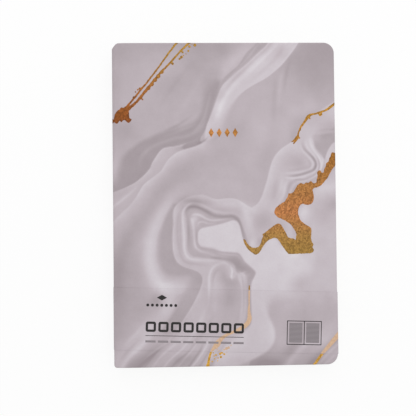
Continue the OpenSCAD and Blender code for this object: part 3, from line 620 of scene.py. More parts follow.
        (51, 71.6), (56, 70.6), (62, 69.8), (70, 69.2), (76, 67.6), (78.6, 64.6), (79.2, 61),
        (81, 60.4), (85.4, 59.4), (86.2, 55), (86, 45), (86, 36), (85, 30, 2), (83, 25, 3), (88.6, 27),
        (89, 40), (89.4, 54), (92.6, 60.4), (90, 70), (86, 84), (83.6, 90), (82, 95), (78.6, 97.8),
        (72, 98), (66, 99), (60, 101.8), (54, 103.8), (49.4, 103.8)]),
    ("strand", -0.34, 1.1, [(46.4, 96, 0), (47.2, 101, 0.6), (50, 103.2), (54.6, 103, 1.1), (60, 100.4),
        (65, 97.6, 0.8), (71, 96.6, 0.8), (77, 96.8, 0.8), (80.6, 94.4, 0.9), (82.8, 89.6, 0.8),
        (84.2, 83.6, 0.6), (86, 79, 0)]),
    ("strand", -0.16, 0.8, [(48.2, 98, 0), (48.7, 92, 0.8), (48.7, 85), (48.8, 79, 0.4),
        (50, 74.6, 0)]),
    ("cloud", 0.16, 52, 93, 3, 5), ("cloud", 0.1, 56, 98, 4, 2, -20),
    ("cloud", 0.2, 52.6, 95.6, 2.2, 2.4),
    ("strand", 0.14, 0.6, [(46, 99, 0), (47, 103), (50.6, 105.6), (56, 105.2), (61, 102.8),
        (66, 100.4, 0.8), (72, 99.4, 0.6), (78, 99, 0.4), (82, 96.6, 0)]),
    ("strand", 0.26, 1, [(49.6, 96.4, 0), (51, 94.4, 0.8), (52, 88, 0.8), (52.4, 82), (53.2, 77.6),
        (56.4, 74.6, 0.9), (61, 73.4, 0.6), (66, 71.4, 0.6), (72, 70.6, 0.4), (78, 70.2, 0)]),
    ("strand", 0.3, 0.7, [(50, 97.6, 0), (53, 98.4, 0.8), (56.6, 97.6), (60, 95.6), (64, 94.4),
        (69, 94.6, 0.8), (75, 95.2, 0.3), (79, 95, 0)]),
    ("strand", 0.22, 0.6, [(54.8, 90, 0), (55.4, 93), (58.4, 93.4), (62, 92.2, 0.8), (68, 92.6, 0)]),
    ("strand", -0.09, 0.6, [(53.4, 90, 0.4), (53.8, 85), (53.6, 80), (55, 76.6, 0.8), (60, 75.6, 0)]),
    ("strand", 0.18, 0.5, [(66, 73.6, 0), (70, 72.6), (75, 72), (80, 71.4, 0.8), (83, 68, 0)]),
    ("strand", -0.24, 3, [(60, 70.6, 0), (66, 69.8, 0.3), (73, 69.4, 0.5), (79, 67.6), (82, 64, 1.1),
        (86, 61.6), (89, 60, 0.6), (88.4, 55, 0.3), (87.4, 50, 0)]),
    ("strand", -0.16, 1, [(62, 70.4, 0), (66, 69.9), (72, 68.6, 0.6), (78, 66, 0.4), (81, 62, 0)]),
    # the lobe below it
    ("field", 0.5, 1, [(62.4, 52), (62.6, 58), (64.4, 62.4), (67.6, 64.6), (71.4, 64.8), (74, 62, 1.2),
        (75, 58, 2), (79.6, 57, 2), (82, 52), (82.6, 44), (82, 34), (79, 26, 3), (70, 20, 6),
        (60, 24, 6), (60, 38, 4)]),
    ("cloud", -0.22, 74, 46, 5, 9), ("cloud", -0.14, 77, 54, 5, 3), ("cloud", -0.1, 71, 59, 2.4, 6, 10),
    ("cloud", 0.1, 65, 53, 3, 7),
    ("strand", 0.22, 0.8, [(60.6, 38, 0), (61.4, 45, 0.5), (61.6, 52), (61.8, 58, 0.9), (63.6, 63, 0.7),
        (67.4, 66, 0.4), (72, 66.8, 0.4), (76, 65, 0)]),
    ("strand", -0.12, 0.8, [(64, 50, 0), (64.4, 57), (66.4, 61.6), (70, 62.4, 0)]),
    ("field", 0.6, 0.7, [(75.4, 63.6), (74.6, 59), (75.6, 56.8), (78.4, 57.2), (79.6, 60.4), (78, 63)]),
    ("field", 0.62, 0.5, [(80, 59.6), (84.6, 59), (86, 56), (85.6, 50), (85.4, 40), (84.4, 30),
        (82, 24, 3), (81, 30), (82.2, 40), (82.4, 50), (80.6, 56)]),
    ("strand", 0.24, 0.6, [(75, 66, 0), (76.6, 62), (76.2, 57.4), (77.4, 54.6, 0)]),
    ("strand", 0.22, 0.5, [(80.4, 61.4, 0), (83, 60), (85, 60.8, 0.6), (86.6, 60, 0)]),
    ("strand", -0.18, 0.5, [(82.6, 60, 0), (83.4, 56), (83.9, 50), (84, 40, 0.7), (83, 30, 0)]),
    ("strand", -0.14, 0.5, [(85.6, 61, 0), (85.2, 56), (85.2, 50), (85.4, 42, 0)]),
    # bare white ground
    ("field", 0.78, 0.6, [(54.6, 83.4), (55, 87), (57, 89.2), (61, 90.2), (66, 91.2), (72, 92.6),
        (77, 94.2), (80, 93.6), (81.8, 91), (82.8, 87), (83.6, 83.4), (85, 80), (88, 76), (92, 72),
        (95, 76), (98, 80), (102, 82.4), (106, 81), (109, 77, 2), (120, 72, 5), (127, 68, 9),
        (127, 61, 9), (117, 54, 9), (112, 46, 10), (104, 43, 10), (100, 39, 6), (99.8, 33, 3),
        (102.4, 27, 2.6), (104, 21, 2.4), (103, 14.6, 2.4), (98.6, 9.4, 2.4), (91, 5, 2), (83, 1.4, 2),
        (74, -2, 2), (64, -4, 3), (66, 8, 6), (76, 17, 6), (84, 22, 2), (88.6, 28), (88.9, 36),
        (88.6, 45), (89, 53), (91, 57.6), (91.8, 60.6), (88.6, 64), (85, 67.4), (82.8, 70.8),
        (80.6, 73), (76, 73.6), (70, 74.2), (64.6, 75.8), (60, 76.6), (56.4, 77.8), (54.8, 80.4)]),
    ("cloud", -0.11, 94, 22, 16, 26), ("cloud", 0.05, 112, 72, 8, 5), ("cloud", -0.1, 76, 3, 14, 4),
    ("strand", -0.12, 0.6, [(56, 78.6, 0), (60, 77), (65, 76.2), (70, 75, 0)]),
    # soft light and shade over the whole
    ("cloud", -0.12, 110, 203, 8, 7), ("cloud", -0.1, 71, 206, 6, 5),
    ("cloud", -0.12, 81, 187, 6, 9, -30), ("cloud", -0.14, 71, 175, 3.5, 4),
    ("cloud", -0.1, 66, 158, 3, 6), ("cloud", -0.07, 40, 182, 10, 8),
    ("cloud", -0.1, 131, 161, 9, 5, 10), ("cloud", -0.09, 128, 126, 6, 4, 10),
    ("cloud", -0.08, 118, 115, 4, 4), ("cloud", -0.12, 46, 106, 5, 4, 30),
    ("cloud", 0.1, 53, 79, 1.5, 4), ("cloud", -0.14, 109, 90, 4, 6), ("cloud", -0.12, 96, 80, 2.5, 3),
    ("cloud", 0.12, 121, 99, 4, 4), ("cloud", 0.14, 119, 73, 3, 3), ("cloud", -0.26, 29, 44, 5, 4.5),
    ("cloud", 0.11, 47, 50, 6, 8), ("cloud", 0.1, 70, 50, 5, 5), ("cloud", 0.08, 65, 40, 2, 6),
    ("cloud", 0.12, 85, 60, 3, 2.4), ("cloud", 0.15, 117, 46, 6, 5), ("cloud", 0.09, 114, 38, 5, 4),
    ("cloud", 0.15, 105, 24, 7, 12), ("cloud", 0.15, 111, 14, 5, 5), ("cloud", 0.16, 132, 15, 9, 5),
    ("cloud", -0.06, 27, 31, 7, 4), ("cloud", -0.12, 28, 37, 6, 9), ("cloud", -0.12, 65, 151, 3, 4),
    ("cloud", 0.1, 68, 187, 5, 3), ("cloud", -0.1, 53, 107, 4, 5), ("cloud", 0.1, 90, 102, 4, 4),
    ("cloud", -0.1, 95, 80, 3, 4), ("cloud", 0.06, 113, 24, 7, 9),
    # thin lines where the foot of the print runs out
    ("cloud", -0.12, 42, 6, 14, 4), ("cloud", -0.3, 21, 5, 12, 4, 25),
    ("cloud", -0.26, 44, 4, 10, 4, 20), ("cloud", -0.1, 24, 11, 10, 3, 30),
    # the long cloud at y -2 makes the cover darker along its rolled tail edge: partly the print's dark foot,
    # partly painted shade of the edge
    ("cloud", -0.22, 30, -2, 60, 5), ("cloud", -0.16, 10, 6, 8, 6), ("cloud", -0.12, 88, 4, 14, 6),
    ("strand", 0.2, 1.6, [(5, 0), (10, 7), (16, 12.6), (21, 17.6, 0.7), (26, 24, 0)]),
    ("strand", 0.1, 1.2, [(6, 13, 0), (10, 18), (16, 24), (20, 30, 0)]),
    ("strand", -0.1, 1, [(2, 2, 0), (7, 9), (13, 15), (18, 21, 0)]),
    ("strand", 0.16, 0.9, [(24, -1, 0.6), (29, 6), (35, 11.6), (42, 17, 0.6), (48, 24, 0)]),
    ("strand", -0.16, 0.9, [(14, -1), (22, 6), (30, 12), (38, 17.6, 0)]),
    ("strand", 0.12, 0.7, [(16, 1, 0), (23, 8.4), (31, 14), (38, 20, 0)]),
    ("strand", 0.16, 0.7, [(31, -1), (36, 5), (43, 11), (50, 19, 0)]),
    ("strand", -0.16, 0.8, [(36, -1), (41, 4.4), (48, 10), (54, 18, 0)]),
    ("strand", 0.14, 0.7, [(40, -1), (45, 5), (51, 12), (56, 20, 0)]),
    ("strand", 0.2, 0.8, [(49, -1), (54, 5), (58.6, 12), (63, 20, 0)]),
    ("strand", -0.22, 0.8, [(47, -1), (51.4, 5), (55.6, 11), (58, 17, 0)]),
    ("strand", -0.2, 0.8, [(54, -1), (58, 5), (61.6, 11), (64, 18, 0)]),
    ("strand", 0.14, 0.7, [(58, -1), (61.4, 5), (64.6, 11), (68, 18, 0)]),
    ("strand", -0.16, 0.9, [(61, -1), (65, 5), (69, 11), (73, 17, 0)]),
    ("strand", -0.1, 1.2, [(48, 34, 0), (44, 27), (38, 19), (32, 12, 0)]),
    ("strand", 0.1, 1.2, [(60, 40, 0), (56, 30), (50, 20), (44, 12, 0)]),
    ("strand", -0.1, 1.4, [(66, 36, 0), (60, 26), (54, 18), (50, 12, 0)]),
]


def inkWay(points):
    # a smooth way through the points, each a row of place and a value, 1 unless it is given
    p = np.array([(*row, 1)[:3] for row in (points[0], *points, points[-1])], float)
    a, b, c, d = p[:-3, None], p[1:-2, None], p[2:-1, None], p[3:, None]
    steps = marbling["waySteps"]
    t = (np.arange(steps) / steps)[None, :, None]
    way = 0.5 * (2 * b + (c - a) * t + (2 * a - 5 * b + 4 * c - d) * t**2
        + (3 * b - a - 3 * c + d) * t**3)
    way = np.concatenate([way.reshape(-1, 3), p[-1:]])
    way[:, 2] = np.maximum(way[:, 2], 0)
    return way


def closedWay(outline):
    return inkWay([*outline, outline[0]])


def nearestOn(way, x, y):
    # distance to the way, the side of it (1 on the left) and the value carried along it there
    best = np.full(x.shape, np.inf)
    side = np.ones(x.shape)
    value = np.zeros(x.shape)
    for start, end in zip(way[:-1], way[1:]):
        run = end[:2] - start[:2]
        dx, dy = x - start[0], y - start[1]
        t = np.clip((dx * run[0] + dy * run[1]) / max(run @ run, nearZero), 0, 1)
        gap = np.hypot(dx - t * run[0], dy - t * run[1])
        nearer = gap < best
        best = np.where(nearer, gap, best)
        side = np.where(nearer, np.where(run[0] * dy - run[1] * dx > 0, 1.0, -1.0), side)
        value = np.where(nearer, start[2] + t * (end[2] - start[2]), value)
    return best, side, value


def insideOf(way, x, y):
    # True where a point lies inside a closed way
    inside = np.zeros(x.shape, bool)
    for (x1, y1), (x2, y2) in zip(way[:-1, :2], np.roll(way[:-1, :2], -1, axis=0)):
        if y1 == y2:
            continue
        crosses = (y1 > y) != (y2 > y)
        inside ^= crosses & (x < (x2 - x1) * (y - y1) / (y2 - y1) + x1)
    return inside


def nearTo(way, x, y, margin):
    low, high = way.min(axis=0) - margin, way.max(axis=0) + margin
    return (x > low[0]) & (x < high[0]) & (y > low[1]) & (y < high[1])


def marbleTone(x, y):
    # 0 is the darkest ink and 1 the palest, at cover millimetres from the spine and the tail
    tone = np.full(x.shape, marbling["ground"])
    for kind, *sizes in inks:
        if kind == "cloud":
            gain, cx, cy, across, along, turn = (*sizes, 0)[:6]
            c, s = math.cos(math.radians(turn)), math.sin(math.radians(turn))
            dx, dy = x - cx, y - cy
            tone += gain * np.exp(-((dx * c + dy * s) / across) ** 2
                - ((dy * c - dx * s) / along) ** 2)
            continue
        points = sizes.pop()
        if kind == "field":
            target, rim = sizes
            way = closedWay(points)
            near = nearTo(way, x, y, rim * way[:, 2].max())
            gap, _, soft = nearestOn(way, x[near], y[near])
            depth = np.where(insideOf(way, x[near], y[near]), gap, -gap)
            tone[near] += (target - tone[near]) * smoothUp(0.5 + depth / (2 * rim * soft))
            continue
        way = inkWay(points)
        near = nearTo(way, x, y, marbling["fadeReaches"] * max(sizes[1::2]))
        gap, side, strength = nearestOn(way, x[near], y[near])
        if kind == "strand":
            gain, width = sizes
            tone[near] += strength * gain * np.exp(-((gap / width) ** 2))
        else:
            leftGain, leftReach, rightGain, rightReach = sizes
            toLeft = smoothUp(0.5 + side * gap)     # the two sides meet over a millimetre
            tone[near] += strength * (toLeft * leftGain * np.exp(-gap / leftReach)
                + (1 - toLeft) * rightGain * np.exp(-gap / rightReach))
    return tone


# Cover skins: one sheet wraps both covers and the spine, cut here down the middle of the
# spine into a front and a back half.
skin = {
    "frontCell": 0.65,      # cell of the printed face, which carries the marbling
    "backCell": 1.3,
    "rollSteps": 8,
    "boardGap": 0.35,       # how far past the flat the pocket for the board reaches
    "thickenFrom": 4.0,     # here the spine's thickness starts to go over to the cover's
    "thickenOver": 6.0,     # and this much further on it is there
    "leastCorner": 0.5,     # corner radius that is left deep inside the turned-in edge
    "bluntOver": 12.0,      # how far from the end a blunted corner starts
    "bluntRound": 0.3,      # and how softly
    "spineFade": 6.0,       # where the back's own marbling takes over from the spine's
}


def coverSection(u):
    # along the skin from the spine: plan x, drop below the face, and the outward normal
    s, quarter = cover["shoulder"], cover["quarter"]
    turn = np.clip((s - u) / s, 0, math.pi / 2)
    x = np.where(u >= s, u, s - s * np.sin(turn))
    drop = s * (1 - np.cos(turn)) + np.maximum(s - quarter - u, 0)
    return x, drop, -np.sin(turn), np.cos(turn)


def roundCorner(a, b):
    # a and b go from 0 to 1 over a corner's square: this factor makes an arc of its two sides
    return np.maximum(a, b) / np.maximum(np.hypot(a, b), nearZero)


def coverPlan(u, v, out):
    # rounds the fore-edge corners and blunts the spine's; out is the distance past the flat
    inset = cover["roll"] - out
    radius = np.maximum(cover["corner"] - inset, skin["leastCorner"])
    startX, startY = cover["width"] - cover["corner"], cover["half"] - cover["corner"]
    right, side = cover["width"] - inset - radius, cover["half"] - inset - radius
    a = np.clip((u - startX) / (cover["corner"] - cover["roll"]), 0, 1)
    b = np.clip((np.abs(v) - startY) / (cover["corner"] - cover["roll"]), 0, 1)
    reach = roundCorner(a, b)
    s = cover["shoulder"]
    along = np.where(u > s, s + (np.minimum(u, startX) - s) * (right - s) / (startX - s), u)
    along = along + radius * a * reach
    over = np.where(v > 0, cover["headBlunt"], cover["tailBlunt"]) - coverSection(along)[0]
    cut = (over + np.sqrt(over**2 + skin["bluntRound"])) / 2
    y = np.minimum(np.abs(v), startY) * side / startY + radius * b * reach
    fromEnd = cover["half"] - cover["roll"] - np.abs(v)
    y = y - cut * np.clip(1 - fromEnd / skin["bluntOver"], 0, 1)
    return along, np.sign(v) * y


def onCover(u, v, out, roll, drop, isBack=False):
    # roll is a share of the thickness below the face and drop a depth in millimetres
    pastSpine = smoothUp((u - skin["thickenFrom"]) / skin["thickenOver"])
    thick = mixed(cover["spineThick"], cover["thick"], pastSpine)
    out = np.where(out > 0, out * thick / cover["thick"], out)
    along, y = coverPlan(u, v, out)
    x, fall, nx, nz = coverSection(along)
    depth = roll * thick + drop
    z = cover["top"] - fall - nz * depth
    if isBack:
        z = 2 * cover["middle"] - z
    return np.stack([cover["spineX"] + x - nx * depth, y, z], axis=1)


def coverPattern(u, v, bleed):
    # place on the print, from the spine and the tail, which bleeds round the rolled edges
    along, y = coverPlan(u, v, np.zeros(u.shape))
    beyond, yBeyond = coverPlan(u, v, np.full(u.shape, cover["roll"]))
    return along + (beyond - along) * bleed, y + (yBeyond - y) * bleed + cover["half"]


def sideTone(x, y, isBack):
    # the back carries the same marbling turned half round, and the spine carries the front's
    if not isBack:
        return marbleTone(x, y)
    own = marbleTone(cover["width"] - x, 2 * cover["half"] - y)
    carried = marbleTone(2 * cover["seam"] - x, y)
    fade = smoothUp((skin["spineFade"] - x) / (skin["spineFade"] - cover["seam"]))
    return mixed(own, carried, fade)


def skinRings():
    # rings of points past the flat: distance out, share of the thickness, depth, and distance
    # along the print; they roll round the edge, turn in and line the board's pocket
    rings = []
    for step in range(1, skin["rollSteps"] + 1):
        turn = math.pi * step / skin["rollSteps"]
        rings.append((math.sin(turn), (1 - math.cos(turn)) / 2, 0, turn * cover["roll"]))
    inner = cover["roll"] - cover["turnInWidth"]
    far = math.pi * cover["roll"] - inner
    return rings + [(inner, 1, 0, far), (inner, 1, -cover["turnIn"], far),
        (skin["boardGap"], 1, -cover["turnIn"], far), (skin["boardGap"], 0, cover["skin"], far)]


def wrappedSkin(name, cell, isBack):
    flat = cover["half"] - cover["roll"]
    bm = flatSheet(cover["seam"], cover["foreStart"], -flat, flat, cell)
    names = ("sheetOut", "sheetRoll", "sheetDrop", "sheetBleed")
    layers = [layer(bm, n) for n in names]
    edge = [e for e in bm.edges if e.is_boundary
        and max(v.co.x for v in e.verts) > cover["seam"] + tiny]
    for ring in skinRings():
        made = bmesh.ops.extrude_edge_only(bm, edges=edge)["geom"]
        fresh = {item for item in made if isinstance(item, bmesh.types.BMVert)}
        for v in fresh:
            for which, value in zip(layers, ring):
                v[which] = value
        edge = [item for item in made
            if isinstance(item, bmesh.types.BMEdge) and fresh.issuperset(item.verts)]
    # the last ring's two long sides are bridged by the skin's inner face, and the rest of that
    # face at the fore-edge and the cut at the spine are filled
    straight = cover["width"] - cover["corner"] + tiny
    sides = [e for e in edge if all(abs(v.co.y) > flat - tiny and v.co.x < straight
        for v in e.verts)]
    bmesh.ops.bridge_loops(bm, edges=sides)
    bmesh.ops.holes_fill(bm, edges=[e for e in bm.edges if e.is_boundary], sides=0)
    u, v, out, roll, drop, bleed = columns(bm, *names)
    mark(bm, "tone", sideTone(*coverPattern(u, v, bleed), isBack))
    return finishPiece(name, bm, onCover(u, v, out, roll, drop, isBack), marbledSkin)


# Paper band: one strip round the planner, a little askew, with its ends tucked inside the
# covers; it is cut down the middle of the spine too.
band = {
    "height": 40.0,
    "thick": 0.2,
    "turn": 2,              # degrees askew
    "low": 9.4,             # lower edge over the tail, at the middle of the cover
    "lowAt": 72.5,          # and how far that is from the spine
    "shoulder": 1.95,       # inner radius over the shoulder
    "wrapStart": 144.05,    # where it turns round the fore-edge
    "wrapShare": 0.464,     # share of that turn which adds nothing to its climb
    "tuck": 40.0,
    "cell": 0.65,
}
band["skew"] = math.tan(math.radians(band["turn"]))
band["spineEdge"] = band["low"] + band["lowAt"] * band["skew"]      # lower edge at the spine
band["face"] = cover["top"] + band["thick"]
band["wrap"] = (band["face"] - cover["frontHinge"]) / 2
band["turnOuter"] = band["shoulder"] + band["thick"]
band["limbStart"] = band["shoulder"] - band["turnOuter"] * math.pi / 2
band["seam"] = band["limbStart"] - (band["face"] - band["turnOuter"] - cover["middle"])
band["tuckStart"] = band["wrapStart"] + band["wrap"] * math.pi


def bandSection(w):
    # along the band's outer face: x from the spine, height over the hinge, outward normal
    s, r = band["shoulder"], band["turnOuter"]
    turn = np.clip((s - w) / r, 0, math.pi / 2)
    wrap = np.clip((w - band["wrapStart"]) / band["wrap"], 0, math.pi)
    top = band["face"] - cover["frontHinge"]
    x = np.where(w < s, s - r * np.sin(turn), np.minimum(w, band["wrapStart"]))
    x = x + band["wrap"] * np.sin(wrap) - np.maximum(w - band["tuckStart"], 0)
    z = top - r * (1 - np.cos(turn)) - np.maximum(band["limbStart"] - w, 0)
    z = z - band["wrap"] * (1 - np.cos(wrap))
    return x, z, np.sin(wrap) - np.sin(turn), np.where(w < s, np.cos(turn), np.cos(wrap))


def bandClimb(w, x, z, isBack):
    # how far the skewed strip has risen since the front of the spine
    turned = np.minimum(w, band["tuckStart"]) - band["wrapStart"]
    plan = np.where(turned > 0, w - band["wrapShare"] * turned, x + np.minimum(z, 0))
    if isBack:
        return band["skew"] * (cover["frontHinge"] - cover["backHinge"] + plan)
    return -band["skew"] * plan


def onBand(w, h, lift, isBack=False):
    x, z, nx, nz = bandSection(w)
    y = band["spineEdge"] + bandClimb(w, x, z, isBack) + h - cover["half"]
    z = z + cover["frontHinge"] + nz * lift
    if isBack:
        z = 2 * cover["middle"] - z
    return np.stack([cover["spineX"] + x + nx * lift, y, z], axis=1)


def bandHalf(name, isBack):
    right = band["tuckStart"] + band["tuck"]
    bm = flatSheet(band["seam"], right, 0, band["height"], band["cell"])
    thicken(bm, "sheetLift", 0, -band["thick"])
    w, h, lift = columns(bm, "sheetLift")
    places = onBand(w, h, lift, isBack)
    mark(bm, "tone", sideTone(w, places[:, 1] + cover["half"], isBack))
    return finishPiece(name, bm, places, printedPaper)


# Marks on the band, which are the CAD's: places are millimetres along it from the middle of
# the cover, and up from its lower edge.
marks = {
    "signFold": 50.0,       # fold of the open-pages sign
    "pageX": (5.5, 4.6),    # middle, from the fold, and half the width of each page's field
    "pageY": (13.2, 6.6),   # middle and half the height
    "dashesRight": 37.0,    # the row of dashes ends before this and lies below that
    "dashesTop": 8.0,
    "screen": 0.8,          # its lines' spacing, about five times a real one's so that it shows
    "speck": 0.35,          # open specks in the solid ink
}


def markInkMaterial():
    # black offset ink, a little open on the paper's tooth; the row of dashes and the fields of
    # the open-pages sign are screened, so they look grey
    material, tree, shader = newMaterial("offsetBlack", Roughness=0.55,
        Specular_IOR_Level=0.35)
    coords = addNode(tree, "TexCoord")
    speck = addNode(tree, "TexNoise", {"Vector": (coords, "Object")},
        {"Scale": perMm(marks["speck"]), "Detail": 2})
    solid = addNode(tree, "ValToRGB", {"Fac": (speck, "Fac")})
    fillRamp(solid, [(0.35, "#120f0f"), (0.7, "#242020")])
    middle = (cover["spineX"] + band["lowAt"], band["low"] - cover["half"], 0)
    along = addNode(tree, "Mapping", {"Vector": (coords, "Object")},
        {"Location": Vector(middle) * mm, "Rotation": (0, 0, -math.radians(band["turn"]))},
        vector_type="TEXTURE")
    parts = addNode(tree, "SeparateXYZ", {"Vector": (along, "Vector")})
    beside = addNode(tree, "Math", {0: (parts, "X")}, {1: marks["signFold"] * mm},
        operation="SUBTRACT")
    fromFold = addNode(tree, "Math", {0: (beside, "Value")}, operation="ABSOLUTE")
    tests = [("COMPARE", (fromFold, "Value"), *marks["pageX"]),
        ("COMPARE", (parts, "Y"), *marks["pageY"]),
        ("LESS_THAN", (parts, "X"), marks["dashesRight"]),
        ("LESS_THAN", (parts, "Y"), marks["dashesTop"])]
    met = []
    for operation, place, *sizes in tests:
        limits = {i + 1: size * mm for i, size in enumerate(sizes)}
        met.append(addNode(tree, "Math", {0: place}, limits, operation=operation))
    pages, dashes = [addNode(tree, "Math", {0: (a, "Value"), 1: (b, "Value")},
        operation="MULTIPLY") for a, b in (met[:2], met[2:])]
    screened = addNode(tree, "Math", {0: (pages, "Value"), 1: (dashes, "Value")},
        operation="MAXIMUM")
    lines = addNode(tree, "TexWave", {"Vector": (along, "Vector")},
        {"Scale": perBand(marks["screen"])}, bands_direction="Y")
    screen = addNode(tree, "ValToRGB", {"Fac": (lines, "Fac")})
    fillRamp(screen, [(0.3, "#766e72"), (0.7, "#9b9397")])
    ink = addNode(tree, "Mix", {0: (screened, "Value"), 6: (solid, "Color"),
        7: (screen, "Color")}, data_type="RGBA")
    tree.links.new(ink.outputs[2], shader.inputs["Base Color"])
    return material


dressNode("band_marks", markInkMaterial())


# Foil and gold print: veins, blots and drops are drawn as ways and outlines; a field says
# how far each point of a fine sheet is from them, and the sheet is trimmed where it is zero.
gold = {
    "cell": 0.42,
    "foil": 0.05,           # thickness of the stamped foil
    "ink": 0.02,            # thinner than the black ink, which is printed over it
    "gap": 0.15,            # kept clear beside the band
    "ragged": 0.3,          # how far its rim wanders
    # turns in a millimetre, share and seed of each of the two noises that move the rim
    "wanders": [(0.75, 0.6, 3), (1.9, 0.6, 8)],
    "wanderNear": 2.5,      # only points this near to the rim are moved
    "leastCut": 0.08,       # the trim keeps this share of a cell's edge from either end
    # left, right, low and high of the parts of the cover and of the band with gold on them
    "coverAreas": [(-2.4, 57, 156, 211.6), (83, 145.6, 71, 172), (57, 75.5, -0.6, 13),
        (127, 146, -0.6, 8.5), (85.5, 89.5, 48, 52.5)],
    "bandAreas": [(57, 92, 5, 53), (128, 148, -1, 24)],
    "coverOver": 0.2,       # how far it runs on down the rolled edge of the cover
    "bandOver": 1.2,        # and round the fore-edge on the band
    "spinePart": 3,         # on the spine, it stops this part of the way to the seam
}

# ways of the veins: x, y and width
goldVeins = [
    [(45, 213, 1.3), (42.4, 210, 1.4), (40.3, 207.5, 1.3), (38.8, 205.5, 1.2), (37.2, 203.5, 1.1),
        (35.8, 201.5, 1.2), (34.3, 199.5, 1.1), (32.9, 197.5), (31.5, 195.5, 1.1), (30, 193.5),
        (28.5, 191.5, 1.2), (27, 189.5), (25.4, 187.5, 1.1), (23.9, 185.5, 1.1), (22.3, 183.5, 1.1),
        (20.6, 181.6, 1.2), (19, 179.8, 1.4), (17.5, 177.8, 1.2), (15.9, 175.7, 1.2),
        (14.3, 173.8, 1.3), (12.7, 171.9, 1.2), (11, 169.9, 1.4), (9, 167, 2.2)],
    [(53.6, 213, 1.8), (50.4, 210, 1.6), (47.8, 207.5, 1.3), (45.8, 205.5, 1.4), (43.8, 203.5, 1.2),
        (42.1, 201.5, 1.2), (40.3, 199.5, 1.3), (38.6, 197.5, 1.4), (36.6, 195.5, 1.3),
        (34.6, 193.5, 1.2), (32.8, 191.6, 1.5), (31.1, 189.8, 1.5), (29.3, 187.6, 1.6),
        (27.6, 185.6, 1.7), (26, 183.6, 1.7), (24.4, 181.5, 1.8), (22.7, 179.5, 1.9),
        (20.9, 177.5, 1.8), (19.4, 175.6, 1.7), (17.8, 173.7, 1.8), (16.1, 171.7, 1.6),
        (14.1, 169.8, 1.7), (11.8, 168, 2.2), (8.8, 165.8, 3.2), (7, 164, 4)],
    [(149, 172.6, 1.4), (144.9, 169.6, 1.5), (142.2, 167.6, 1.7), (140, 166, 1.5), (138, 165, 1.2),
        (136, 164.4, 1.2), (134, 163.7, 1.3), (132, 163.1, 1.1), (130, 162.8, 1.2), (128.4, 162.2, 1.7),
        (126.9, 160.9, 1.8), (125.9, 159.2, 1.6), (124.8, 157.6, 1.4), (123.6, 156, 1.4),
        (122.5, 154.5, 1.2), (121.8, 152.8, 1.2), (121.1, 151.3), (120.7, 149.8, 1.1),
        (120.4, 148.4, 1.8), (119.4, 147, 2.1), (118.1, 145.9, 1.1), (116, 144.8, 0.7)],
    [(120.2, 147.2, 1.5), (118.9, 145.4, 1.1), (117.6, 143.8, 0.7)],
    [(87.6, 52, 0.5), (87.6, 50.2, 1.1), (87.5, 47), (87.4, 43, 0.9), (87.4, 40, 0.9), (87.2, 36, 1.6),
        (87.4, 33, 2.3), (87.5, 30.6, 2.8), (86.6, 28.3, 2.8), (84.8, 26.3, 2.9), (82.4, 24.7, 2.5),
        (79.6, 23.3, 2), (76, 21.8, 1.8), (72.6, 20.3, 1.8), (69.8, 18.5, 2.3), (67.8, 16.4, 3.2),
        (66.2, 14.2, 3.7), (64.2, 11.8, 2.2), (62.5, 9.6, 1.5), (61.6, 7, 1.4), (61, 4.6, 1.5),
        (60.6, 2, 1.8), (60.2, 0, 2.5), (60, -4, 2.5)],
    [(150, 24, 3.6), (145, 19, 3.3), (139.5, 12.9, 2.6), (134.5, 7.2, 1.9), (129.2, 0, 1.7),
        (126, -4, 1.7)],
]

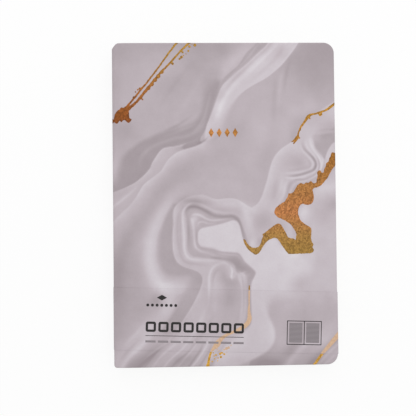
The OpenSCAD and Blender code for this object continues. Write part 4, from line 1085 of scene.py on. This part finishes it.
# outlines of the blots
goldBlots = [
    [(1.2, 159.9), (1.5, 162), (2.2, 164), (3.6, 165.8), (5, 166.7), (6, 167.9), (7.4, 167.8),
        (9, 168.4), (10.4, 166.8), (11, 164.6), (11.1, 162.2), (11.5, 160.8), (12.7, 160.4), (12, 159),
        (11, 158), (9.8, 158.2), (8.6, 159.5), (7.1, 159.6), (6.1, 158.2), (5, 159.4), (4.3, 158.5),
        (3.4, 157.4), (2.2, 157.7), (1.4, 158.4), (0.2, 157.8), (-2, 158.4), (-2, 160.2),
        (-0.2, 160.6)],
    [(149, 139), (144.9, 137.6), (142.6, 137.8), (141.9, 135.6), (140.9, 134), (140.3, 131.9),
        (138.8, 130.8), (138.5, 128.8), (137.5, 127.2), (137.1, 125), (135.9, 124.7), (135, 126),
        (133.6, 125.9), (132.8, 124.4), (133, 122.2), (132.4, 120), (132, 118.2), (130.2, 118),
        (128.6, 119.2), (127, 118.2), (125.4, 118.4), (124, 117.3), (122, 117.9), (120.1, 116.9),
        (119, 115.3), (118, 113.8), (116.8, 111.9), (115, 111.4), (114, 111.4), (113.3, 109.3),
        (112.2, 107.5), (111.2, 106), (109.4, 105.1), (107.4, 103.7), (105.6, 102.1), (104.5, 100),
        (105, 97.8), (106.6, 96), (108.6, 95.1), (111, 93.9), (113, 92.7), (115, 91.1), (116.6, 89),
        (118, 86.6), (118.9, 83.6), (118.9, 80), (124, 78), (128.2, 80), (128.2, 82.6), (128.5, 85.4),
        (128.5, 88), (127.3, 89.6), (125.4, 90.6), (123.6, 92), (121.6, 93.8), (120.6, 96), (120, 98.4),
        (120.2, 101), (121.4, 103.4), (123, 104.6), (124.8, 103.9), (127, 103.8), (129, 104.7),
        (130.2, 106.8), (130.4, 110), (129.7, 113), (130.4, 114.6), (132.4, 115), (134.6, 115.9),
        (136, 117.2), (138, 119.4), (139.6, 121.4), (141, 124), (142.6, 126.6), (144.9, 129.4),
        (149, 133)],
    [(84, 82), (84.5, 79.8), (85.6, 77.5), (87, 75.5), (88.8, 73.8), (90.8, 72.4), (92.4, 71.9),
        (94, 72.8), (95.5, 74.7), (96.9, 77.2), (98.8, 79.6), (101, 81.4), (103.6, 82.5), (105.6, 82.3),
        (107.1, 80.9), (108.6, 78.6), (110, 76.4), (111.6, 74.1), (113, 72.5), (114.2, 71.9),
        (120, 72.1), (126, 72.2), (129, 72.8), (129.9, 74.6), (129.1, 76.5), (129.8, 78.2),
        (128.4, 80.6), (127.6, 86), (122, 87.6), (118.8, 84.4), (118.2, 81.2), (116.8, 82.1),
        (115, 82.3), (113.2, 83), (111.8, 86), (110, 89), (108.6, 91.2), (106.6, 91.8), (104.6, 90.9),
        (102.6, 89.5), (100.4, 87.9), (98.4, 86.2), (96.7, 85), (97, 83.5), (96, 81.6), (95.6, 79.4),
        (94.4, 77.4), (92.4, 76.3), (90, 76.5), (88, 77.7), (86.4, 79.5), (85.3, 81.6)],
]

# loose drops: x, y and diameter
goldDrops = [
    (54, 208.3, 2), (50.5, 207.3, 1.6), (52.2, 209, 0.8), (49.7, 204.5, 1.3), (48.2, 202.7, 0.8),
    (45.9, 203.7, 1.4), (45.3, 200.5, 1.8), (43.9, 199.3, 1.5), (46.6, 201.6, 0.9), (39.4, 196.2, 1.6),
    (32.5, 190.9, 2.4), (30, 188, 2.7), (28, 185.6, 2.6), (26, 182.9, 2.6), (23.6, 180.4, 2.5),
    (18.6, 174.2, 2.2), (18, 180.2, 1.4), (16.8, 179.3, 1.1), (15.3, 177.9, 1.1), (14, 174.4, 1.3),
    (19.7, 173, 1.2), (135.4, 162.9, 2.5), (128, 161.4, 1.9), (128.4, 160, 1), (126.2, 159.9, 1.2),
    (121.5, 147.5, 1.1), (73.8, 12.2, 1.6), (72.4, 11.6, 1.9), (70.8, 10.9, 1.1), (69.4, 9, 1.6),
    (68.2, 8.3, 1.5), (70.9, 7.9, 1.3), (68.7, 6.2, 1.5), (66.9, 9.9, 1), (65.6, 7.6, 1.3),
    (66.6, 11.3, 0.9), (63.8, 9, 0.9), (64.7, 5.2, 1), (66.6, 3.8, 0.8), (63.1, 3.4, 1),
    (67.8, 10.6, 0.9), (75.4, 13.6, 0.9), (72.6, 9.3, 0.9), (66.8, 5.6, 0.9), (64.2, 6.9, 0.8),
]


def goldField(x, y, ragged):
    # below zero inside the gold, in millimetres from its rim
    field = np.full(x.shape, np.inf)
    for vein in goldVeins:
        gap, _, width = nearestOn(inkWay(vein), x, y)
        field = np.minimum(field, gap - width / 2)
    for blot in goldBlots:
        way = closedWay(blot)
        gap, _, _ = nearestOn(way, x, y)
        field = np.minimum(field, np.where(insideOf(way, x, y), -gap, gap))
    for dropX, dropY, across in goldDrops:
        field = np.minimum(field, np.hypot(x - dropX, y - dropY) - across / 2)
    near = np.abs(field) < gold["wanderNear"]
    rough = [sum(noise.noise((a * turns, b * turns, seed)) * share
        for turns, share, seed in gold["wanders"]) for a, b in zip(x[near], y[near])]
    field[near] += ragged * np.array(rough)
    return field


def trimToField(bm):
    # what lies outside goes; edges that cross the rim are split on it, and the cuts joined
    level = layer(bm, "sheetLevel")
    outside = [f for f in bm.faces if min(v[level] for v in f.verts) > 0]
    bmesh.ops.delete(bm, geom=outside, context="FACES")
    rim = []
    for edge in [e for e in bm.edges if e.verts[0][level] * e.verts[1][level] < 0]:
        a, b = edge.verts
        share = a[level] / (a[level] - b[level])
        share = min(max(share, gold["leastCut"]), 1 - gold["leastCut"])
        _, made = bmesh.utils.edge_split(edge, a, share)
        made[level] = 0
        rim.append(made)
    bmesh.ops.connect_verts(bm, verts=rim)
    outside = [f for f in bm.faces if max(v[level] for v in f.verts) > 0]
    bmesh.ops.delete(bm, geom=outside, context="FACES")
    loose = [v for v in bm.verts if not v.link_faces]
    bmesh.ops.delete(bm, geom=loose, context="VERTS")


def frontStrip(x, y):
    # how far a point of the front cover is outside the band's strip, below zero inside it
    h = y - band["spineEdge"] + band["skew"] * x
    return np.maximum(-h, h - band["height"])


def onCoverFace(x, y):
    # the foil's own limit: the cover's outline, and clear of the band
    edge = np.maximum(np.maximum(x - cover["width"], y - 2 * cover["half"]), -y)
    edge = np.maximum(edge - gold["coverOver"], cover["seam"] / gold["spinePart"] - x)
    return np.maximum(edge, gold["gap"] - frontStrip(x, y))


def onBandFace(x, y):
    # the gold ink's limit: within the band, and a little way round the fore-edge
    return np.maximum(frontStrip(x, y) + gold["gap"], x - band["wrapStart"] - gold["bandOver"])


def goldSheet(areas, thick, limit, ragged):
    bm = bmesh.new()
    for left, right, low, high in areas:
        part = flatSheet(left, right, low, high, gold["cell"])
        mesh = bpy.data.meshes.new("goldArea")
        part.to_mesh(mesh)
        part.free()
        bm.from_mesh(mesh)
        bpy.data.meshes.remove(mesh)
    x, y = columns(bm)
    mark(bm, "sheetLevel", np.maximum(goldField(x, y, ragged), limit(x, y)))
    trimToField(bm)
    thicken(bm, "sheetLift", thick, 0)
    return bm


def onFace(x, y, lift):
    # a print place on the front cover, rolled round its edges where it runs past the flat
    r = cover["roll"]
    flat = cover["half"] - r
    v = y - cover["half"]
    past = np.maximum(np.maximum(x - cover["foreStart"], np.abs(v) - flat), 0)
    turn = past / r
    out = np.sin(turn) * (r + lift)
    drop = np.where(past > 0, r - (r + lift) * np.cos(turn), -lift)
    u = np.minimum(x, cover["foreStart"])
    return onCover(u, np.clip(v, -flat, flat), out, np.zeros(x.shape), drop)


def coverFoil():
    bm = goldSheet(gold["coverAreas"], gold["foil"], onCoverFace, gold["ragged"])
    x, y, lift = columns(bm, "sheetLift")
    return finishPiece("stampedVeins", bm, onFace(x, y, lift), stampedFoil)


def printedVeins():
    # the veins run on over the band, printed in gold ink, with a smoother rim
    bm = goldSheet(gold["bandAreas"], gold["ink"], onBandFace, gold["ragged"] / 2)
    x, y, lift = columns(bm, "sheetLift")
    where = onBand(x, y - band["spineEdge"] + band["skew"] * x, lift)
    return finishPiece("printedVeins", bm, where, goldInk)


lozenge = {"count": 4, "pitch": 5.2, "x": 71.8, "y": 151.2, "half": (1.7, 3.0)}


def foilLozenges():
    # four small foil lozenges above the middle of the cover, each a circle of four sides
    bm = bmesh.new()
    for i in range(lozenge["count"]):
        across = lozenge["x"] + (i - (lozenge["count"] - 1) / 2) * lozenge["pitch"]
        bmesh.ops.create_circle(bm, cap_ends=True, segments=4, radius=1,
            matrix=Matrix.Translation((across, lozenge["y"], 0))
            @ Matrix.Diagonal((*lozenge["half"], 1, 1)))
    thicken(bm, "sheetLift", gold["foil"], 0)
    x, y, lift = columns(bm, "sheetLift")
    return finishPiece("foilLozenges", bm, onFace(x, y, lift), stampedFoil)


# Endpapers: each is one folded sheet, pasted inside its cover on one side of the fold and
# free on the other.
leaves = {
    "thick": 0.15,
    "foldX": 2.2,           # centre of the fold, from the spine's outer face
    "foldZ": 0.05,          # and from the hinge plane
    "foldR": 0.15,
    "pasteRight": 142.0,    # reach, half height and corner of the pasted leaf
    "pasteHalf": 102.0,
    "pasteCorner": 4.0,
    "freeRight": 143.0,     # the same of the free leaf
    "freeHalf": 103.0,
    "freeCorner": 5.0,
    "halfOver": 4.0,        # one height goes to the other over this, beside the fold
    "step": 0.4,            # sinks onto the board inside the turned-in skin
    "stepWidth": 1.4,
    "stepFrom": 0.1,        # starts to sink this far from the fold, over this
    "stepOver": 2.0,
    # where the sheet is cut across so that it can bend: so many cuts round the fold, cuts to
    # either side of it, and rows up and down, given as shares of the half height
    "foldCuts": 13,
    "cuts": [0.6, 1, 1.5, 2.1, 2.8, 4, *range(8, 128, 6)],
    "rows": [0.96, 0.97, 0.98, 0.99] + [0.075 * i for i in range(12)],
}
leaves["arc"] = leaves["foldR"] * math.pi / 2


def onLeaf(s, v, lift, isBack=False):
    # s runs across the fold, below zero on the pasted leaf; v is a share of the half height
    pasted = s < 0
    right = np.where(pasted, leaves["pasteRight"], leaves["freeRight"])
    radius = np.where(pasted, leaves["pasteCorner"], leaves["freeCorner"])
    half = mixed(leaves["pasteHalf"], leaves["freeHalf"], smoothUp(1 + s / leaves["halfOver"]))
    x = leaves["foldX"] + np.maximum(np.abs(s) - leaves["arc"], 0)
    y = v * half
    a = np.clip((x - right + radius) / radius, 0, 1)
    b = np.clip((np.abs(y) - half + radius) / radius, 0, 1)
    reach = roundCorner(a, b)
    x = np.minimum(x, right - radius) + radius * a * reach
    y = np.sign(y) * (np.minimum(np.abs(y), half - radius) + radius * b * reach)
    turn = math.pi * (1 + np.clip(s / leaves["arc"], -1, 1) / 2)
    nx, nz = np.cos(turn), np.sin(turn)
    inset = np.minimum(cover["width"] - x, cover["half"] - np.abs(y)) - cover["turnInWidth"]
    sunk = smoothUp(inset / leaves["stepWidth"] + 0.5)
    fromFold = x - leaves["foldX"] - leaves["stepFrom"]
    sunk = sunk * smoothUp(fromFold / leaves["stepOver"]) * pasted
    x = x + nx * (leaves["foldR"] + lift)
    z = cover["frontHinge"] + leaves["foldZ"] + nz * (leaves["foldR"] + lift)
    z = z + leaves["step"] * sunk
    if isBack:
        z = 2 * cover["middle"] - z
    return np.stack([cover["spineX"] + x, y, z], axis=1)


def endpaper(name, isBack):
    arc = leaves["arc"]
    left = leaves["pasteRight"] - leaves["foldX"] + arc
    right = leaves["freeRight"] - leaves["foldX"] + arc
    bm = flatSheet(-left, right, -1, 1, cell=left + right)
    overStep = [leaves["stepWidth"] / 4 * i for i in range(-3, 4)]
    stepAt = cover["width"] - cover["turnInWidth"] - leaves["foldX"] + arc
    stepRow = cover["half"] - cover["turnInWidth"]
    cuts = [*np.linspace(-arc, arc, leaves["foldCuts"])]
    cuts += leaves["cuts"] + [-cut for cut in leaves["cuts"]]
    cuts += [-stepAt - past for past in overStep]
    cuts += [i - left for i in range(round(leaves["pasteCorner"]), 0, -1)]
    cuts += [right - i for i in range(round(leaves["freeCorner"]), 0, -1)]
    cutAcross(bm, cuts, "x")
    rows = leaves["rows"] + [(stepRow + past) / leaves["freeHalf"] for past in overStep]
    cutAcross(bm, rows + [-r for r in rows], "y")
    thicken(bm, "sheetLift", leaves["thick"], 0)
    s, v, lift = columns(bm, "sheetLift")
    return finishPiece(name, bm, onLeaf(s, v, lift, isBack), leafPaper)


frontSkin = wrappedSkin("frontSkin", skin["frontCell"], False)
backSkin = wrappedSkin("backSkin", skin["backCell"], True)
frontBand = bandHalf("frontBand", False)
backBand = bandHalf("backBand", True)
frontLeaf = endpaper("frontEndpaper", False)
backLeaf = endpaper("backEndpaper", True)
veins = coverFoil()
lozenges = foilLozenges()
inkVeins = printedVeins()

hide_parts("front_skin", "spine_skin", "pale_marbling", "dark_marbling")
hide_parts("back_skin")
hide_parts("band_front", "band_spine")
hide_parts("band_back")
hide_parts("front_pastedown", "front_flyleaf")
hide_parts("back_pastedown", "back_flyleaf")
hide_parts("cover_foil")
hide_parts("band_veins")
for piece in (veins, lozenges, inkVeins):
    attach(piece, "front_cover")

# Skins, bands and endpapers bend at the hinge planes: heights over the hinge where the
# bending starts, on the cover's side, and ends, on the spine's. The plane of the bend leans a
# little for the bands, so that their tucked ends, far from the spine, stay with the covers.
bendZones = {"skin": (0.32, -0.38, 0), "band": (0.32, -0.38, 0.05), "leaf": (0.19, -0.09, 0)}


def bendAtHinge(piece, isBack, zone):
    coverSide, spineSide, lean = bendZones[zone]
    body, hinge, up = "front_cover", cover["frontHinge"], 1
    if isBack:
        body, hinge, up = "back_cover", cover["backHinge"], -1
    x = cover["spineX"]
    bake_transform(piece, body, "text_block", start=(x * mm, 0, (hinge + up * coverSide) * mm),
        end=((x - lean) * mm, 0, (hinge + up * spineSide) * mm))


for isBack, bent in ((False, {"skin": frontSkin, "band": frontBand, "leaf": frontLeaf}),
        (True, {"skin": backSkin, "band": backBand, "leaf": backLeaf})):
    for zone, piece in bent.items():
        bendAtHinge(piece, isBack, zone)
print("pieces made")


# Stage: a white table, soft light from above and the head, and the photo's camera.
studio = {
    "lens": 50,
    "clip": (0.01, 20),                 # nearest and farthest that the camera sees, in metres
    "turn": (-0.916, 1.654, 0.604),     # degrees of the cover seen from the camera
    "shift": (11.04, 2.74, -374.3),     # the cover's middle from the camera, in millimetres
    "white": (1, 1, 1, 1),
    "sky": 0.76,                        # strength of the light from all round
    "table": (0.93, 0.93, 0.93, 1),
    "tableSide": 3.0,                   # in metres, as the lamp's size and place are
    "tableWhite": 0.85,                 # how white it is to the camera, apart from shadow
    "lampSize": 1.1,
    "lampPower": 4.3,
    "lampPlace": (0.1, 0.6, 0.9),
}
scene = bpy.context.scene
scene.view_settings.view_transform = "Standard"


def cameraRays(tree):
    # 1 for what the camera sees, also in a gloss or through glass, and 0 for the light
    path = addNode(tree, "LightPath")
    either = addNode(tree, "Math", {0: (path, "Is Camera Ray"), 1: (path, "Is Glossy Ray")},
        operation="MAXIMUM")
    return addNode(tree, "Math", {0: (either, "Value"), 1: (path, "Is Transmission Ray")},
        operation="MAXIMUM")


def emptyTree(owner):
    owner.use_nodes = True
    owner.node_tree.nodes.clear()
    return owner.node_tree


def whiteRoom():
    # light from all round, and plain white behind the table
    world = bpy.data.worlds.new("softRoom")
    tree = emptyTree(world)
    light, white = [addNode(tree, "Background", values={"Color": studio["white"],
        "Strength": strength}) for strength in (studio["sky"], 1.0)]
    rays = cameraRays(tree)
    both = addNode(tree, "MixShader", {0: (rays, "Value"), 1: (light, "Background"),
        2: (white, "Background")})
    addNode(tree, "OutputWorld", {"Surface": (both, "Shader")})
    return world


def tableMaterial():
    # white to the camera apart from the soft shadow that the planner leaves
    material = bpy.data.materials.new("whiteTable")
    tree = emptyTree(material)
    matt = addNode(tree, "BsdfDiffuse", values={"Color": studio["table"]})
    glow = addNode(tree, "Emission", values={"Color": studio["white"], "Strength": 1.0})
    rays = cameraRays(tree)
    share = addNode(tree, "Math", {0: (rays, "Value")}, {1: studio["tableWhite"]},
        operation="MULTIPLY")
    both = addNode(tree, "MixShader", {0: (share, "Value"), 1: (matt, "BSDF"),
        2: (glow, "Emission")})
    addNode(tree, "OutputMaterial", {"Surface": (both, "Shader")})
    return material


def addToScene(name, data):
    thing = bpy.data.objects.new(name, data)
    scene.collection.objects.link(thing)
    return thing


scene.world = whiteRoom()

bm = bmesh.new()
bmesh.ops.create_grid(bm, x_segments=1, y_segments=1, size=studio["tableSide"] / 2)
tableTop = bpy.data.meshes.new("table")
bm.to_mesh(tableTop)
bm.free()
tableTop.materials.append(tableMaterial())
floor = addToScene("table", tableTop)

lamp = bpy.data.lights.new("softbox", "AREA")
lamp.size = studio["lampSize"]
lamp.energy = studio["lampPower"]
softbox = addToScene("softbox", lamp)
softbox.location = studio["lampPlace"]
softbox.rotation_euler = (-softbox.location).to_track_quat("-Z", "Y").to_euler()

# the camera is turned and moved until the cover is seen as in the photo
tilt = [math.radians(a) for a in studio["turn"]]
seen = (Matrix.Rotation(tilt[0], 3, "X") @ Matrix.Rotation(tilt[1], 3, "Y")
    @ Matrix.Rotation(tilt[2], 3, "Z"))
faceMiddle = Vector((cover["spineX"] + cover["width"] / 2, 0, cover["top"])) * mm
lens = bpy.data.cameras.new("camera")
lens.lens = studio["lens"]
lens.clip_start, lens.clip_end = studio["clip"]
camera = addToScene("camera", lens)
camera.location = faceMiddle - seen.transposed() @ (Vector(studio["shift"]) * mm)
camera.rotation_euler = seen.transposed().to_euler()
scene.camera = camera
print("stage ready")
